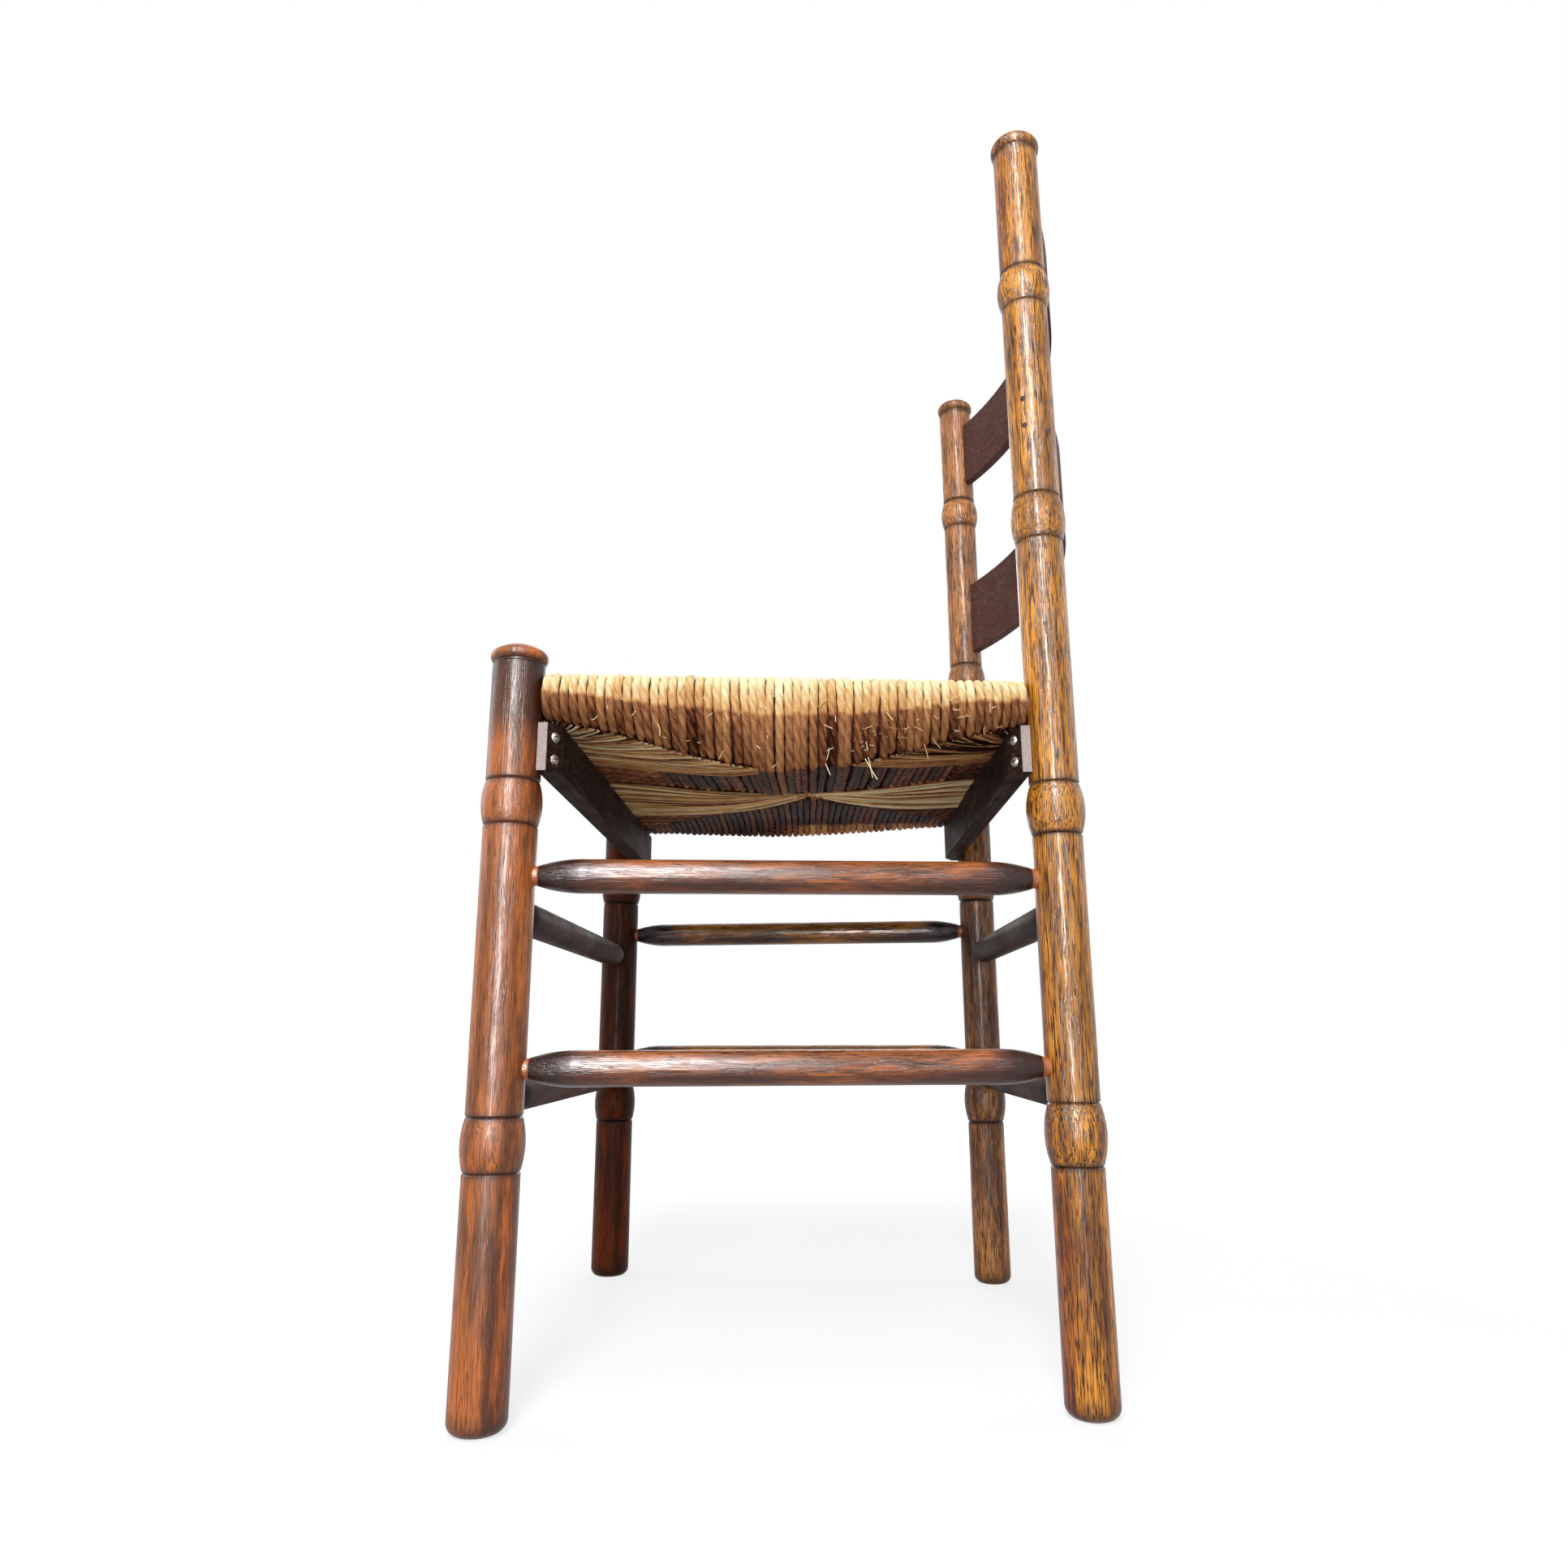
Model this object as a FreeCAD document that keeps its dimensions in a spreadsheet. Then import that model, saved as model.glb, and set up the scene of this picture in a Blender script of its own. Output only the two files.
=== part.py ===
# Ladderback chair with a rush seat.
# Four turned posts carry eight round rungs, four seat rails and two bowed slats.
# Rush is wound over the seat rails round a dry stuffing, and two boards are
# screwed to the posts under the seat.
# Millimetres. +Z is up, +X is the sitter's left and the front faces -Y.
# The origin is on the floor, in the middle of the chair's outer box.

import FreeCAD, Part
import math
import os
from types import SimpleNamespace

import Sketcher

SIZES = {
    # Plan, from post centre to post centre
    "front_width": 414.8,
    "back_width": 355.4,
    "seat_depth": 356.2,
    # Back posts, whose upper rings are placed down from the top
    "back_post_height": 897.6,
    "back_post_diameter": 32.9,
    "back_bead_diameter": 38.5,
    "back_cap_diameter": 36.6,
    "back_cap_height": 16.5,
    "back_ankle_base": 140.3,
    "back_ankle_length": 37.5,
    "back_knee_base": 347.2,
    "back_knee_length": 34.2,
    "back_waist_drop": 341.5,
    "back_waist_length": 33.9,
    "back_neck_drop": 152.3,
    "back_neck_length": 30.2,
    # Front posts, whose tops stand a little above the front rail
    "front_post_rise": 36.7,
    "front_post_diameter": 34.8,
    "front_bead_diameter": 38.9,
    "front_cap_diameter": 38.1,
    "front_cap_height": 14.2,
    "front_ankle_base": 140.0,
    "front_ankle_length": 32.0,
    "front_knee_base": 350.3,
    "front_knee_length": 29.3,
    # Turned details shared by all posts
    "cap_dome": 5.0,
    "cap_edge_inset": 2.6,
    "groove_width": 2.2,
    "groove_depth": 0.9,
    "foot_rounding": 7.0,
    # Rungs
    "rung_diameter": 22.0,
    "rung_tenon_diameter": 12.7,
    "rung_tenon_depth": 14.0,
    "rung_neck": 1.5,
    "rung_taper_length": 27.0,
    "rung_taper_bulge": 1.1,
    "lower_rung_height": 182.5,
    "upper_rung_height": 296.4,
    "lower_bore_wall": 4.2,
    "upper_bore_wall": 9.2,
    # Seat rails under the rush
    "rail_diameter": 20.0,
    "rail_tenon_diameter": 12.5,
    "rail_tenon_depth": 9.0,
    "rail_shoulder_gap": 1.0,
    "cross_rail_height": 436.6,
    "side_rail_rise": 2.0,
    # Fits
    "tenon_clearance": 0.1,
    "glue_gap": 1.5,
    # Slats, placed down from the back posts' tops
    "slat_radius": 360.0,
    "slat_setback": 2.2,
    "slat_thickness": 8.5,
    "slat_tenon_reach": 8.0,
    "slat_edge_rounding": 1.6,
    "lower_slat_drop": 294.6,
    "lower_slat_height": 74.0,
    "upper_slat_drop": 104.1,
    "upper_slat_height": 68.0,
    # Nails through the lower slat's tenons
    "nail_diameter": 1.8,
    "nail_length": 20.0,
    "nail_head_diameter": 4.0,
    "nail_head_height": 0.6,
    "nail_head_sink": 0.3,
    "nail_inset": 39.0,
    "nail_spacing": 21.4,
    "nail_forward": 8.2,
    # Boards under the seat
    "apron_height": 32.0,
    "apron_thickness": 14.1,
    "apron_overhang": 7.6,
    "apron_seat_depth": 1.0,
    "apron_end_edge": 5.9,
    "apron_bevel_length": 15.0,
    "front_apron_drop": 50.7,
    "back_apron_drop": 47.3,
    # Round-head screws through the boards' bevelled ends
    "screw_diameter": 3.8,
    "screw_length": 24.0,
    "screw_tip": 4.0,
    "screw_head_diameter": 7.2,
    "screw_head_height": 2.2,
    "screw_slot_width": 1.0,
    "screw_slot_depth": 1.2,
    "screw_spacing": 15.0,
    # Rush seat
    "rush_thickness": 5.7,
    "left_belly": 31.6,
    "right_belly": 6.0,
    "belly_inset": 4.0,
    "belly_rounding": 9.0,
    "seat_dish": 8.0,
    "edge_dish": 4.0,
    "panel_lift": 1.2,
    "panel_rounding": 2.0,
    "middle_drop": 7.4,
    "stuffing_inset": 1.0,
}

SHEET_NAME = "Sizes"
SIDES = {"left": 1, "right": -1}
RUNG_LEVELS = ("lower", "upper")
BACK_RINGS = ("ankle", "knee", "waist", "neck")
FRONT_RINGS = ("ankle", "knee")


class Size:
    """A measure that keeps its number together with its sheet expression."""

    def __init__(self, text, value):
        self.text = text
        self.value = value

    def join(self, sign, other, value):
        return Size(f"({self.text} {sign} {other.text})", value)

    def __add__(self, other):
        other = as_size(other)
        return self.join("+", other, self.value + other.value)

    def __sub__(self, other):
        other = as_size(other)
        return self.join("-", other, self.value - other.value)

    def __mul__(self, other):
        other = as_size(other)
        return self.join("*", other, self.value * other.value)

    def __truediv__(self, other):
        other = as_size(other)
        return self.join("/", other, self.value / other.value)


def as_size(number):
    return number if isinstance(number, Size) else Size(str(number), float(number))


def root(size):
    return Size(f"sqrt({size.text})", math.sqrt(size.value))


def bearing(run_y, run_x):
    """The angle, in degrees, of a horizontal run."""
    angle = math.degrees(math.atan2(run_y.value, run_x.value))
    return Size(f"atan2({run_y.text}; {run_x.text})", angle)


def arcsine(ratio):
    return Size(f"asin({ratio.text})", math.degrees(math.asin(ratio.value)))


def dome_bulge(radius, height):
    """The swell of the arc from a rim to a pole that spins into part of a sphere."""
    chord_squared = radius * radius + height * height
    sphere = chord_squared / (height * 2)
    return sphere - root(sphere * sphere - chord_squared / 4)


ZERO = as_size(0)
LYING = as_size(90)

doc = FreeCAD.newDocument("ladderback_chair")
sheet = doc.addObject("Spreadsheet::Sheet", SHEET_NAME)
for row, (alias, length) in enumerate(SIZES.items(), start=1):
    sheet.set(f"A{row}", alias.replace("_", " "))
    sheet.set(f"B{row}", str(length))
    sheet.setAlias(f"B{row}", alias)
doc.recompute()
s = SimpleNamespace(
    **{alias: Size(f"{SHEET_NAME}.{alias}", length) for alias, length in SIZES.items()}
)

# Places that several pieces share
front_x = s.front_width / 2
back_x = s.back_width / 2
front_radius = s.front_post_diameter / 2
back_radius = s.back_post_diameter / 2
slat_chord_drop = root(s.slat_radius * s.slat_radius - back_x * back_x)
slat_reach = s.slat_setback + s.slat_radius - slat_chord_drop + s.slat_thickness / 2
front_y = (s.front_bead_diameter / 2 - s.seat_depth - slat_reach) / 2
back_y = front_y + s.seat_depth
slat_centre_y = back_y + s.slat_setback - slat_chord_drop
bore_diameter = s.rung_tenon_diameter + s.tenon_clearance
side_rail_height = s.cross_rail_height + s.side_rail_rise
wrap_radius = s.rail_diameter / 2 + s.rush_thickness
post_tops = {"front": s.cross_rail_height + s.front_post_rise, "back": s.back_post_height}
ring_bases = {
    "front_ankle": s.front_ankle_base,
    "front_knee": s.front_knee_base,
    "back_ankle": s.back_ankle_base,
    "back_knee": s.back_knee_base,
    "back_waist": post_tops["back"] - s.back_waist_drop,
    "back_neck": post_tops["back"] - s.back_neck_drop,
}
slat_bases = {
    "lower": post_tops["back"] - s.lower_slat_drop,
    "upper": post_tops["back"] - s.upper_slat_drop,
}


def place(thing, x, y, z, yaw=ZERO, pitch=ZERO):
    """Bind an object's placement to a point and a turn about Z, then about Y."""
    point = f"create(<<vector>>; {x.text}; {y.text}; {z.text})"
    turn = f"create(<<rotation>>; {yaw.text}; {pitch.text}; 0)"
    thing.setExpression("Placement", f"create(<<placement>>; {point}; {turn})")


def new_body(name):
    body = doc.addObject("PartDesign::Body", name)
    body.Label = name
    return body


def new_sketch(body, name, plane):
    """Add a sketch on one of the body's own origin planes."""
    sketch = body.newObject("Sketcher::SketchObject", name)
    origin_plane = next(
        feature for feature in body.Origin.OriginFeatures if feature.Role == plane
    )
    sketch.AttachmentSupport = [(origin_plane, "")]
    sketch.MapMode = "FlatFace"
    return sketch


def pin(sketch, edge, axis, size):
    """Hold an edge's start at a distance from the sketch's origin."""
    if size is ZERO:
        opposite = -2 if axis == "X" else -1
        sketch.addConstraint(Sketcher.Constraint("PointOnObject", edge, 1, opposite))
        return
    index = sketch.addConstraint(
        Sketcher.Constraint(f"Distance{axis}", -1, 1, edge, 1, size.value)
    )
    sketch.setExpression(f"Constraints[{index}]", size.text)


def draw_outline(sketch, corners):
    """Draw a closed outline through corners (x, y) or (x, y, bulge).

    A bulge is how far the edge after that corner swells out to its right.
    """
    points = [FreeCAD.Vector(x.value, y.value, 0) for x, y, *_ in corners]
    for edge, (_, _, *bulge) in enumerate(corners):
        start = points[edge]
        end = points[(edge + 1) % len(points)]
        if bulge:
            along = end - start
            outward = FreeCAD.Vector(along.y, -along.x, 0).normalize()
            middle = (start + end) / 2 + outward * bulge[0].value
            sketch.addGeometry(Part.Arc(start, middle, end))
        else:
            sketch.addGeometry(Part.LineSegment(start, end))
    for edge in range(len(corners)):
        following = (edge + 1) % len(corners)
        sketch.addConstraint(Sketcher.Constraint("Coincident", edge, 2, following, 1))
    for edge, (x, y, *bulge) in enumerate(corners):
        pin(sketch, edge, "X", x)
        pin(sketch, edge, "Y", y)
        if bulge:
            end_x, end_y, *_ = corners[(edge + 1) % len(corners)]
            run_x = end_x - x
            run_y = end_y - y
            chord_squared = run_x * run_x + run_y * run_y
            radius = chord_squared / (bulge[0] * 8) + bulge[0] / 2
            index = sketch.addConstraint(Sketcher.Constraint("Radius", edge, radius.value))
            sketch.setExpression(f"Constraints[{index}]", radius.text)


def turned_body(name, corners):
    """Spin an outline of (radius, height) corners about the body's Z axis."""
    body = new_body(name)
    sketch = new_sketch(body, f"{name}_outline", "XZ_Plane")
    draw_outline(sketch, corners)
    turning = body.newObject("PartDesign::Revolution", f"{name}_turning")
    turning.Profile = sketch
    turning.ReferenceAxis = (sketch, ["V_Axis"])
    turning.Angle = 360
    return body


def padded_body(name, corners, height):
    """Pad a flat outline, drawn on the body's XY plane, to a height."""
    body = new_body(name)
    sketch = new_sketch(body, f"{name}_outline", "XY_Plane")
    draw_outline(sketch, corners)
    pad = body.newObject("PartDesign::Pad", f"{name}_pad")
    pad.Profile = sketch
    pad.setExpression("Length", height.text)
    return body


# Posts: a shaft with bead rings between V grooves, a domed cap and a rounded foot

def post_outline(kind, rings):
    """The outline of a post whose sizes start with kind, from foot to cap."""
    sizes = vars(s)
    shaft = sizes[f"{kind}_post_diameter"] / 2
    bead = sizes[f"{kind}_bead_diameter"] / 2
    cap = sizes[f"{kind}_cap_diameter"] / 2
    top = post_tops[kind]
    half_groove = s.groove_width / 2
    groove_radius = shaft - s.groove_depth
    corners = [
        (ZERO, ZERO),
        (shaft - s.foot_rounding, ZERO, s.foot_rounding * (1 - math.sqrt(0.5))),
        (shaft, s.foot_rounding),
    ]
    for ring in rings:
        low = ring_bases[f"{kind}_{ring}"]
        high = low + sizes[f"{kind}_{ring}_length"]
        corners += [
            (shaft, low - half_groove),
            (groove_radius, low),
            (shaft, low + half_groove, bead - shaft),
            (shaft, high - half_groove),
            (groove_radius, high),
            (shaft, high + half_groove),
        ]
    cap_base = top - sizes[f"{kind}_cap_height"]
    cap_edge = cap - s.cap_edge_inset
    corners += [
        (shaft, cap_base - half_groove),
        (groove_radius, cap_base),
        (cap_edge, cap_base + half_groove, s.cap_edge_inset),
        (cap_edge, top - s.cap_dome, dome_bulge(cap_edge, s.cap_dome)),
        (ZERO, top),
    ]
    return corners


# Rungs and rails: bars that run from one post's axis to another's

def bar_run(start, end):
    """The length between two (x, y) points and the bearing of the line."""
    run_x = end[0] - start[0]
    run_y = end[1] - start[1]
    return root(run_x * run_x + run_y * run_y), bearing(run_y, run_x)


def rung_end(post_radius):
    """Radius and distance from the post's axis of a rung's corners, from its end in."""
    tenon = s.rung_tenon_diameter / 2
    neck_end = post_radius + s.rung_neck
    return [
        (ZERO, post_radius - s.rung_tenon_depth),
        (tenon, post_radius - s.rung_tenon_depth),
        (tenon, neck_end),
        (s.rung_diameter / 2, neck_end + s.rung_taper_length),
    ]


def rail_end(post_radius):
    """The same for a seat rail, which has a square shoulder."""
    tenon = s.rail_tenon_diameter / 2
    shoulder = post_radius + s.rail_shoulder_gap
    return [
        (ZERO, post_radius - s.rail_tenon_depth),
        (tenon, post_radius - s.rail_tenon_depth),
        (tenon, shoulder),
        (s.rail_diameter / 2, shoulder),
    ]


def bar_body(name, end_shape, start, end, height, taper_bulge=None):
    """A round bar with a tenon at each end, between posts (x, y, radius)."""
    length, turn = bar_run(start, end)
    near = end_shape(start[2])
    far = [(radius, length - along) for radius, along in reversed(end_shape(end[2]))]
    if taper_bulge:
        near[2] = (*near[2], taper_bulge)
        far[0] = (*far[0], taper_bulge)
    body = turned_body(name, near + far)
    place(body, start[0], start[1], height, turn, LYING)
    return body


def bore(name, post, partner, height, diameter, depth):
    """The cylinder drilled into a post, on the axis of the bar that it takes."""
    drill = doc.addObject("Part::Cylinder", name)
    start = post[2] - depth - s.glue_gap
    length, turn = bar_run(post, partner)
    run_x = (partner[0] - post[0]) / length
    run_y = (partner[1] - post[1]) / length
    drill.setExpression("Radius", (diameter / 2).text)
    drill.setExpression("Height", (depth + s.glue_gap + post[2]).text)
    place(drill, post[0] + run_x * start, post[1] + run_y * start, height, turn, LYING)
    return drill


def cut(name, base, tools):
    """Cut several tools from a base, under the sub-part's own name."""
    joined = doc.addObject("Part::MultiFuse", f"{name}_cutters")
    joined.Shapes = tools
    result = doc.addObject("Part::Cut", name)
    result.Base = base
    result.Tool = joined
    result.Label = name
    return result


# Each post as its axis, its radius and its name
posts = {}
for side, sign in SIDES.items():
    posts[f"{side}_front"] = (front_x * sign, front_y, front_radius)
    posts[f"{side}_back"] = (back_x * sign, back_y, back_radius)

# The pairs of posts that the rungs and rails join
BAYS = {
    "left": ("left_front", "left_back"),
    "right": ("right_front", "right_back"),
    "front": ("right_front", "left_front"),
    "back": ("right_back", "left_back"),
}

rung_heights = {}
for level in RUNG_LEVELS:
    cross_height = vars(s)[f"{level}_rung_height"]
    side_height = cross_height + bore_diameter + vars(s)[f"{level}_bore_wall"]
    rung_heights[level] = {"side": side_height, "cross": cross_height}

subparts = {}
bores = {post: [] for post in posts}

for bay, (first, second) in BAYS.items():
    direction = "side" if bay in SIDES else "cross"
    bars = [(f"{bay}_{level}_rung", rung_heights[level][direction]) for level in RUNG_LEVELS]
    for name, height in bars:
        bar = bar_body(name, rung_end, posts[first], posts[second], height, s.rung_taper_bulge)
        subparts[name] = bar
        for post, partner in ((first, second), (second, first)):
            drill_name = f"{name}_bore_in_{post}"
            drill = bore(drill_name, posts[post], posts[partner], height,
                         bore_diameter, s.rung_tenon_depth)
            bores[post].append(drill)

for bay, (first, second) in BAYS.items():
    name = f"{bay}_seat_rail"
    height = side_rail_height if bay in SIDES else s.cross_rail_height
    subparts[name] = bar_body(name, rail_end, posts[first], posts[second], height)
    for post, partner in ((first, second), (second, first)):
        drill_name = f"{name}_bore_in_{post}"
        drill = bore(drill_name, posts[post], posts[partner], height,
                     s.rail_tenon_diameter + s.tenon_clearance, s.rail_tenon_depth)
        bores[post].append(drill)


# Slats: strips bent to an arc, whose ends run on into the back posts

def slat_body(name, base, height, clearance, extra_reach):
    """A strip of arc about a vertical axis in front of the back posts."""
    inner = s.slat_radius - s.slat_thickness / 2 - clearance
    outer = s.slat_radius + s.slat_thickness / 2 + clearance
    full_height = height + clearance * 2
    edge = full_height - s.slat_edge_rounding
    body = new_body(name)
    sketch = new_sketch(body, f"{name}_outline", "YZ_Plane")
    corners = [(inner, ZERO), (outer, ZERO), (outer, edge, s.slat_edge_rounding), (inner, edge)]
    draw_outline(sketch, corners)
    bend = body.newObject("PartDesign::Revolution", f"{name}_bend")
    bend.Profile = sketch
    bend.ReferenceAxis = (sketch, ["V_Axis"])
    bend.Midplane = True
    half_span = back_x + s.slat_tenon_reach + extra_reach
    bend.setExpression("Angle", (arcsine(half_span / s.slat_radius) * 2).text)
    place(body, ZERO, slat_centre_y, base - clearance)
    return body


slats = {}
for level in RUNG_LEVELS:
    base = slat_bases[level]
    height = vars(s)[f"{level}_slat_height"]
    slats[level] = slat_body(f"{level}_slat_strip", base, height, ZERO, ZERO)
    mortise = slat_body(f"{level}_slat_mortise", base, height, s.tenon_clearance / 2, s.glue_gap)
    bores["left_back"].append(mortise)
    bores["right_back"].append(mortise)


# Nails driven from the outside of each back post into the lower slat's tenon

def nail_body(name, side, height):
    sign = SIDES[side]
    shank = s.nail_diameter / 2
    head = s.nail_head_diameter / 2
    top = s.nail_length + s.nail_head_height
    corners = [
        (ZERO, ZERO),
        (shank, s.nail_diameter),
        (shank, s.nail_length),
        (head, s.nail_length),
        (head, top),
        (ZERO, top),
    ]
    body = turned_body(name, corners)
    # The nail points at the post's axis from a spot a little towards the front
    out_y = s.nail_forward / back_radius * -1
    out_x = root(as_size(1) - out_y * out_y) * sign
    tip = back_radius - s.nail_head_sink - s.nail_length
    place(body, back_x * sign + out_x * tip, back_y + out_y * tip, height,
          bearing(out_y, out_x), LYING)
    return body


lower_nail_height = slat_bases["lower"] + s.nail_inset
nail_heights = {"lower": lower_nail_height, "upper": lower_nail_height + s.nail_spacing}
nails = []
for side in SIDES:
    for level, height in nail_heights.items():
        name = f"{side}_slat_{level}_nail"
        nail = nail_body(name, side, height)
        subparts[name] = nail
        nails.append(nail)
        bores[f"{side}_back"].append(nail)

subparts["upper_slat"] = slats["upper"]
subparts["lower_slat"] = cut("lower_slat", slats["lower"], nails)


# Boards under the seat: flat on the posts' inner sides, with bevelled ends

def apron_body(name, length):
    """A board drawn from its outer left corner, with its bevels on the far face."""
    corners = [
        (ZERO, ZERO),
        (length, ZERO),
        (length, s.apron_end_edge),
        (length - s.apron_bevel_length, s.apron_thickness),
        (s.apron_bevel_length, s.apron_thickness),
        (ZERO, s.apron_end_edge),
    ]
    return padded_body(name, corners, s.apron_height)


def screw_body(name):
    """A round-head screw along its Z axis, from its tip to its slotted head."""
    shank = s.screw_diameter / 2
    head = s.screw_head_diameter / 2
    top = s.screw_length + s.screw_head_height
    corners = [
        (ZERO, ZERO),
        (shank, s.screw_tip),
        (shank, s.screw_length),
        (head, s.screw_length, dome_bulge(head, s.screw_head_height)),
        (ZERO, top),
    ]
    body = turned_body(name, corners)
    slot = new_sketch(body, f"{name}_slot_outline", "XZ_Plane")
    half_width = s.screw_slot_width / 2
    floor = top - s.screw_slot_depth
    above = top + s.screw_slot_depth
    left = half_width * -1
    draw_outline(slot, [(left, floor), (half_width, floor), (half_width, above), (left, above)])
    pocket = body.newObject("PartDesign::Pocket", f"{name}_slot")
    pocket.Profile = slot
    pocket.Midplane = True
    pocket.Type = "ThroughAll"
    return body


apron_bevel_depth = s.apron_thickness - s.apron_end_edge
bevel_face = root(
    s.apron_bevel_length * s.apron_bevel_length + apron_bevel_depth * apron_bevel_depth
)
# The bevel faces outwards (x) and away from the posts (y), by these shares
bevel_out_x = apron_bevel_depth / bevel_face
bevel_out_y = s.apron_bevel_length / bevel_face

APRONS = {"front": 1, "back": -1}
aprons = {}
apron_screws = {}
for row, inward in APRONS.items():
    post_x, post_y, post_radius = posts[f"left_{row}"]
    base = s.cross_rail_height - vars(s)[f"{row}_apron_drop"]
    end_x = post_x + s.apron_overhang
    outer_y = post_y + (post_radius - s.apron_seat_depth) * inward
    board = apron_body(f"{row}_apron_board", end_x * 2)
    place(board, end_x * (-inward), outer_y, base, bearing(ZERO, as_size(inward)))
    aprons[row] = board
    middle = base + s.apron_height / 2
    screw_heights = {
        "lower": middle - s.screw_spacing / 2,
        "upper": middle + s.screw_spacing / 2,
    }
    seat_x = end_x - s.apron_bevel_length / 2
    seat_y = outer_y + (s.apron_end_edge + apron_bevel_depth / 2) * inward
    apron_screws[row] = []
    for side, sign in SIDES.items():
        bores[f"{side}_{row}"].append(board)
        for level, height in screw_heights.items():
            name = f"{side}_{row}_{level}_screw"
            screw = screw_body(name)
            out_x = bevel_out_x * sign
            out_y = bevel_out_y * inward
            tip_x = seat_x * sign - out_x * s.screw_length
            tip_y = seat_y - out_y * s.screw_length
            place(screw, tip_x, tip_y, height, bearing(out_y, out_x), LYING)
            subparts[name] = screw
            apron_screws[row].append(screw)
            bores[f"{side}_{row}"].append(screw)
    subparts[f"{row}_apron"] = cut(f"{row}_apron", board, apron_screws[row])

# The posts take their bores, mortises, board seats and pilot holes
turnings = []
for post, (post_x, post_y, _) in posts.items():
    kind = post.split("_")[1]
    rings = FRONT_RINGS if kind == "front" else BACK_RINGS
    turning = turned_body(f"{post}_post_turning", post_outline(kind, rings))
    place(turning, post_x, post_y, ZERO)
    turnings.append(turning)
    subparts[f"{post}_post"] = cut(f"{post}_post", turning, bores[post])


# Rush seat: a pillow with rolled edges, hung deeper at the left than at the right

def fullness(share):
    """How full the pillow is at a share of the depth, from 0 at a rail to 1."""
    return math.sin(math.pi * share) ** 2


def point(x, y, z):
    return FreeCAD.Vector(x, y, z)


def swell(start, end, bulge):
    """An arc from start to end that swells to the right of the way, seen from -Y."""
    along = end - start
    outward = point(along.z, 0, -along.x).normalize()
    return Part.Arc(start, (start + end) / 2 + outward * bulge, end).toShape()


class SeatSection:
    """The seat's cross-section at a share of its depth, from front to back."""

    def __init__(self, share):
        full = fullness(share)
        self.y = front_y.value + s.seat_depth.value * share
        self.rail_x = front_x.value + (back_x.value - front_x.value) * share
        self.rail_z = side_rail_height.value
        self.radius = wrap_radius.value
        self.top = self.rail_z + self.radius
        dish = s.edge_dish.value + (s.seat_dish.value - s.edge_dish.value) * full
        self.top_middle = self.top - dish
        self.bottom = self.rail_z - self.radius
        self.bottom_middle = self.bottom + s.panel_lift.value - s.middle_drop.value * full
        self.low = {
            "left": self.bottom - s.left_belly.value * full,
            "right": self.bottom - s.right_belly.value * full,
        }
        self.low_x = self.rail_x - s.belly_inset.value * full
        quarter_bulge = self.radius * (1 - math.sqrt(0.5))
        self.side_bulge = quarter_bulge + s.belly_rounding.value * full / 2

    def outline(self):
        """The closed outline, from the right side's top round by the floor side."""
        corners = [
            point(-self.rail_x, self.y, self.top),
            point(-self.rail_x - self.radius, self.y, self.rail_z),
            point(-self.low_x, self.y, self.low["right"]),
            point(0, self.y, self.bottom_middle),
            point(self.low_x, self.y, self.low["left"]),
            point(self.rail_x + self.radius, self.y, self.rail_z),
            point(self.rail_x, self.y, self.top),
        ]
        quarter_bulge = self.radius * (1 - math.sqrt(0.5))
        panel = s.panel_rounding.value
        bulges = [quarter_bulge, self.side_bulge, panel, panel, self.side_bulge, quarter_bulge]
        edges = [swell(a, b, bulge) for a, b, bulge in zip(corners, corners[1:], bulges)]
        edges.append(swell(corners[-1], corners[0], self.top_middle - self.top))
        return Part.Wire(edges)

    def stuffing_outline(self):
        """The outline of the stuffing, one rush thickness inside the pillow."""
        rush = s.rush_thickness.value + s.stuffing_inset.value
        side = self.rail_x - s.rail_diameter.value / 2 - rush
        top = self.top_middle - rush
        corners = [
            point(side, self.y, top),
            point(-side, self.y, top),
            point(-side, self.y, self.low["right"] + rush),
            point(0, self.y, self.bottom_middle + rush),
            point(side, self.y, self.low["left"] + rush),
        ]
        return Part.makePolygon(corners + corners[:1])


PILLOW_SHARES = (0.0, 0.1, 0.25, 0.5, 0.75, 0.9, 1.0)
STUFFING_SHARES = (0.12, 0.25, 0.5, 0.75, 0.88)


def part_feature(name, shape):
    feature = doc.addObject("Part::Feature", name)
    feature.Shape = shape
    feature.Label = name
    feature.Placement = FreeCAD.Placement()
    return feature


pillow = Part.makeLoft([SeatSection(share).outline() for share in PILLOW_SHARES], True)
for row in APRONS:
    rail_x = posts[f"left_{row}"][0].value
    rail_y = posts[f"left_{row}"][1].value
    start = point(-rail_x, rail_y, s.cross_rail_height.value)
    roll = Part.makeCylinder(wrap_radius.value, rail_x * 2, start, point(1, 0, 0))
    pillow = pillow.fuse(roll)

stuffing_wires = [SeatSection(share).stuffing_outline() for share in STUFFING_SHARES]
subparts["seat_stuffing"] = part_feature("seat_stuffing", Part.makeLoft(stuffing_wires, True, True))
rails = [subparts[f"{bay}_seat_rail"] for bay in BAYS]
subparts["rush_seat"] = cut(
    "rush_seat", part_feature("rush_pillow", pillow), rails + turnings + [subparts["seat_stuffing"]]
)

for name, piece in subparts.items():
    piece.Label = name
doc.recompute()

for thing in doc.Objects:
    if "Invalid" in thing.State or "Error" in thing.State:
        raise RuntimeError(f"{thing.Name} did not build: {thing.State}")
for name, piece in subparts.items():
    if piece.Shape.isNull() or not piece.Shape.isValid():
        raise RuntimeError(f"{name} has no valid shape")
    if len(piece.Shape.Solids) != 1:
        raise RuntimeError(f"{name} has {len(piece.Shape.Solids)} solids")

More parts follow.
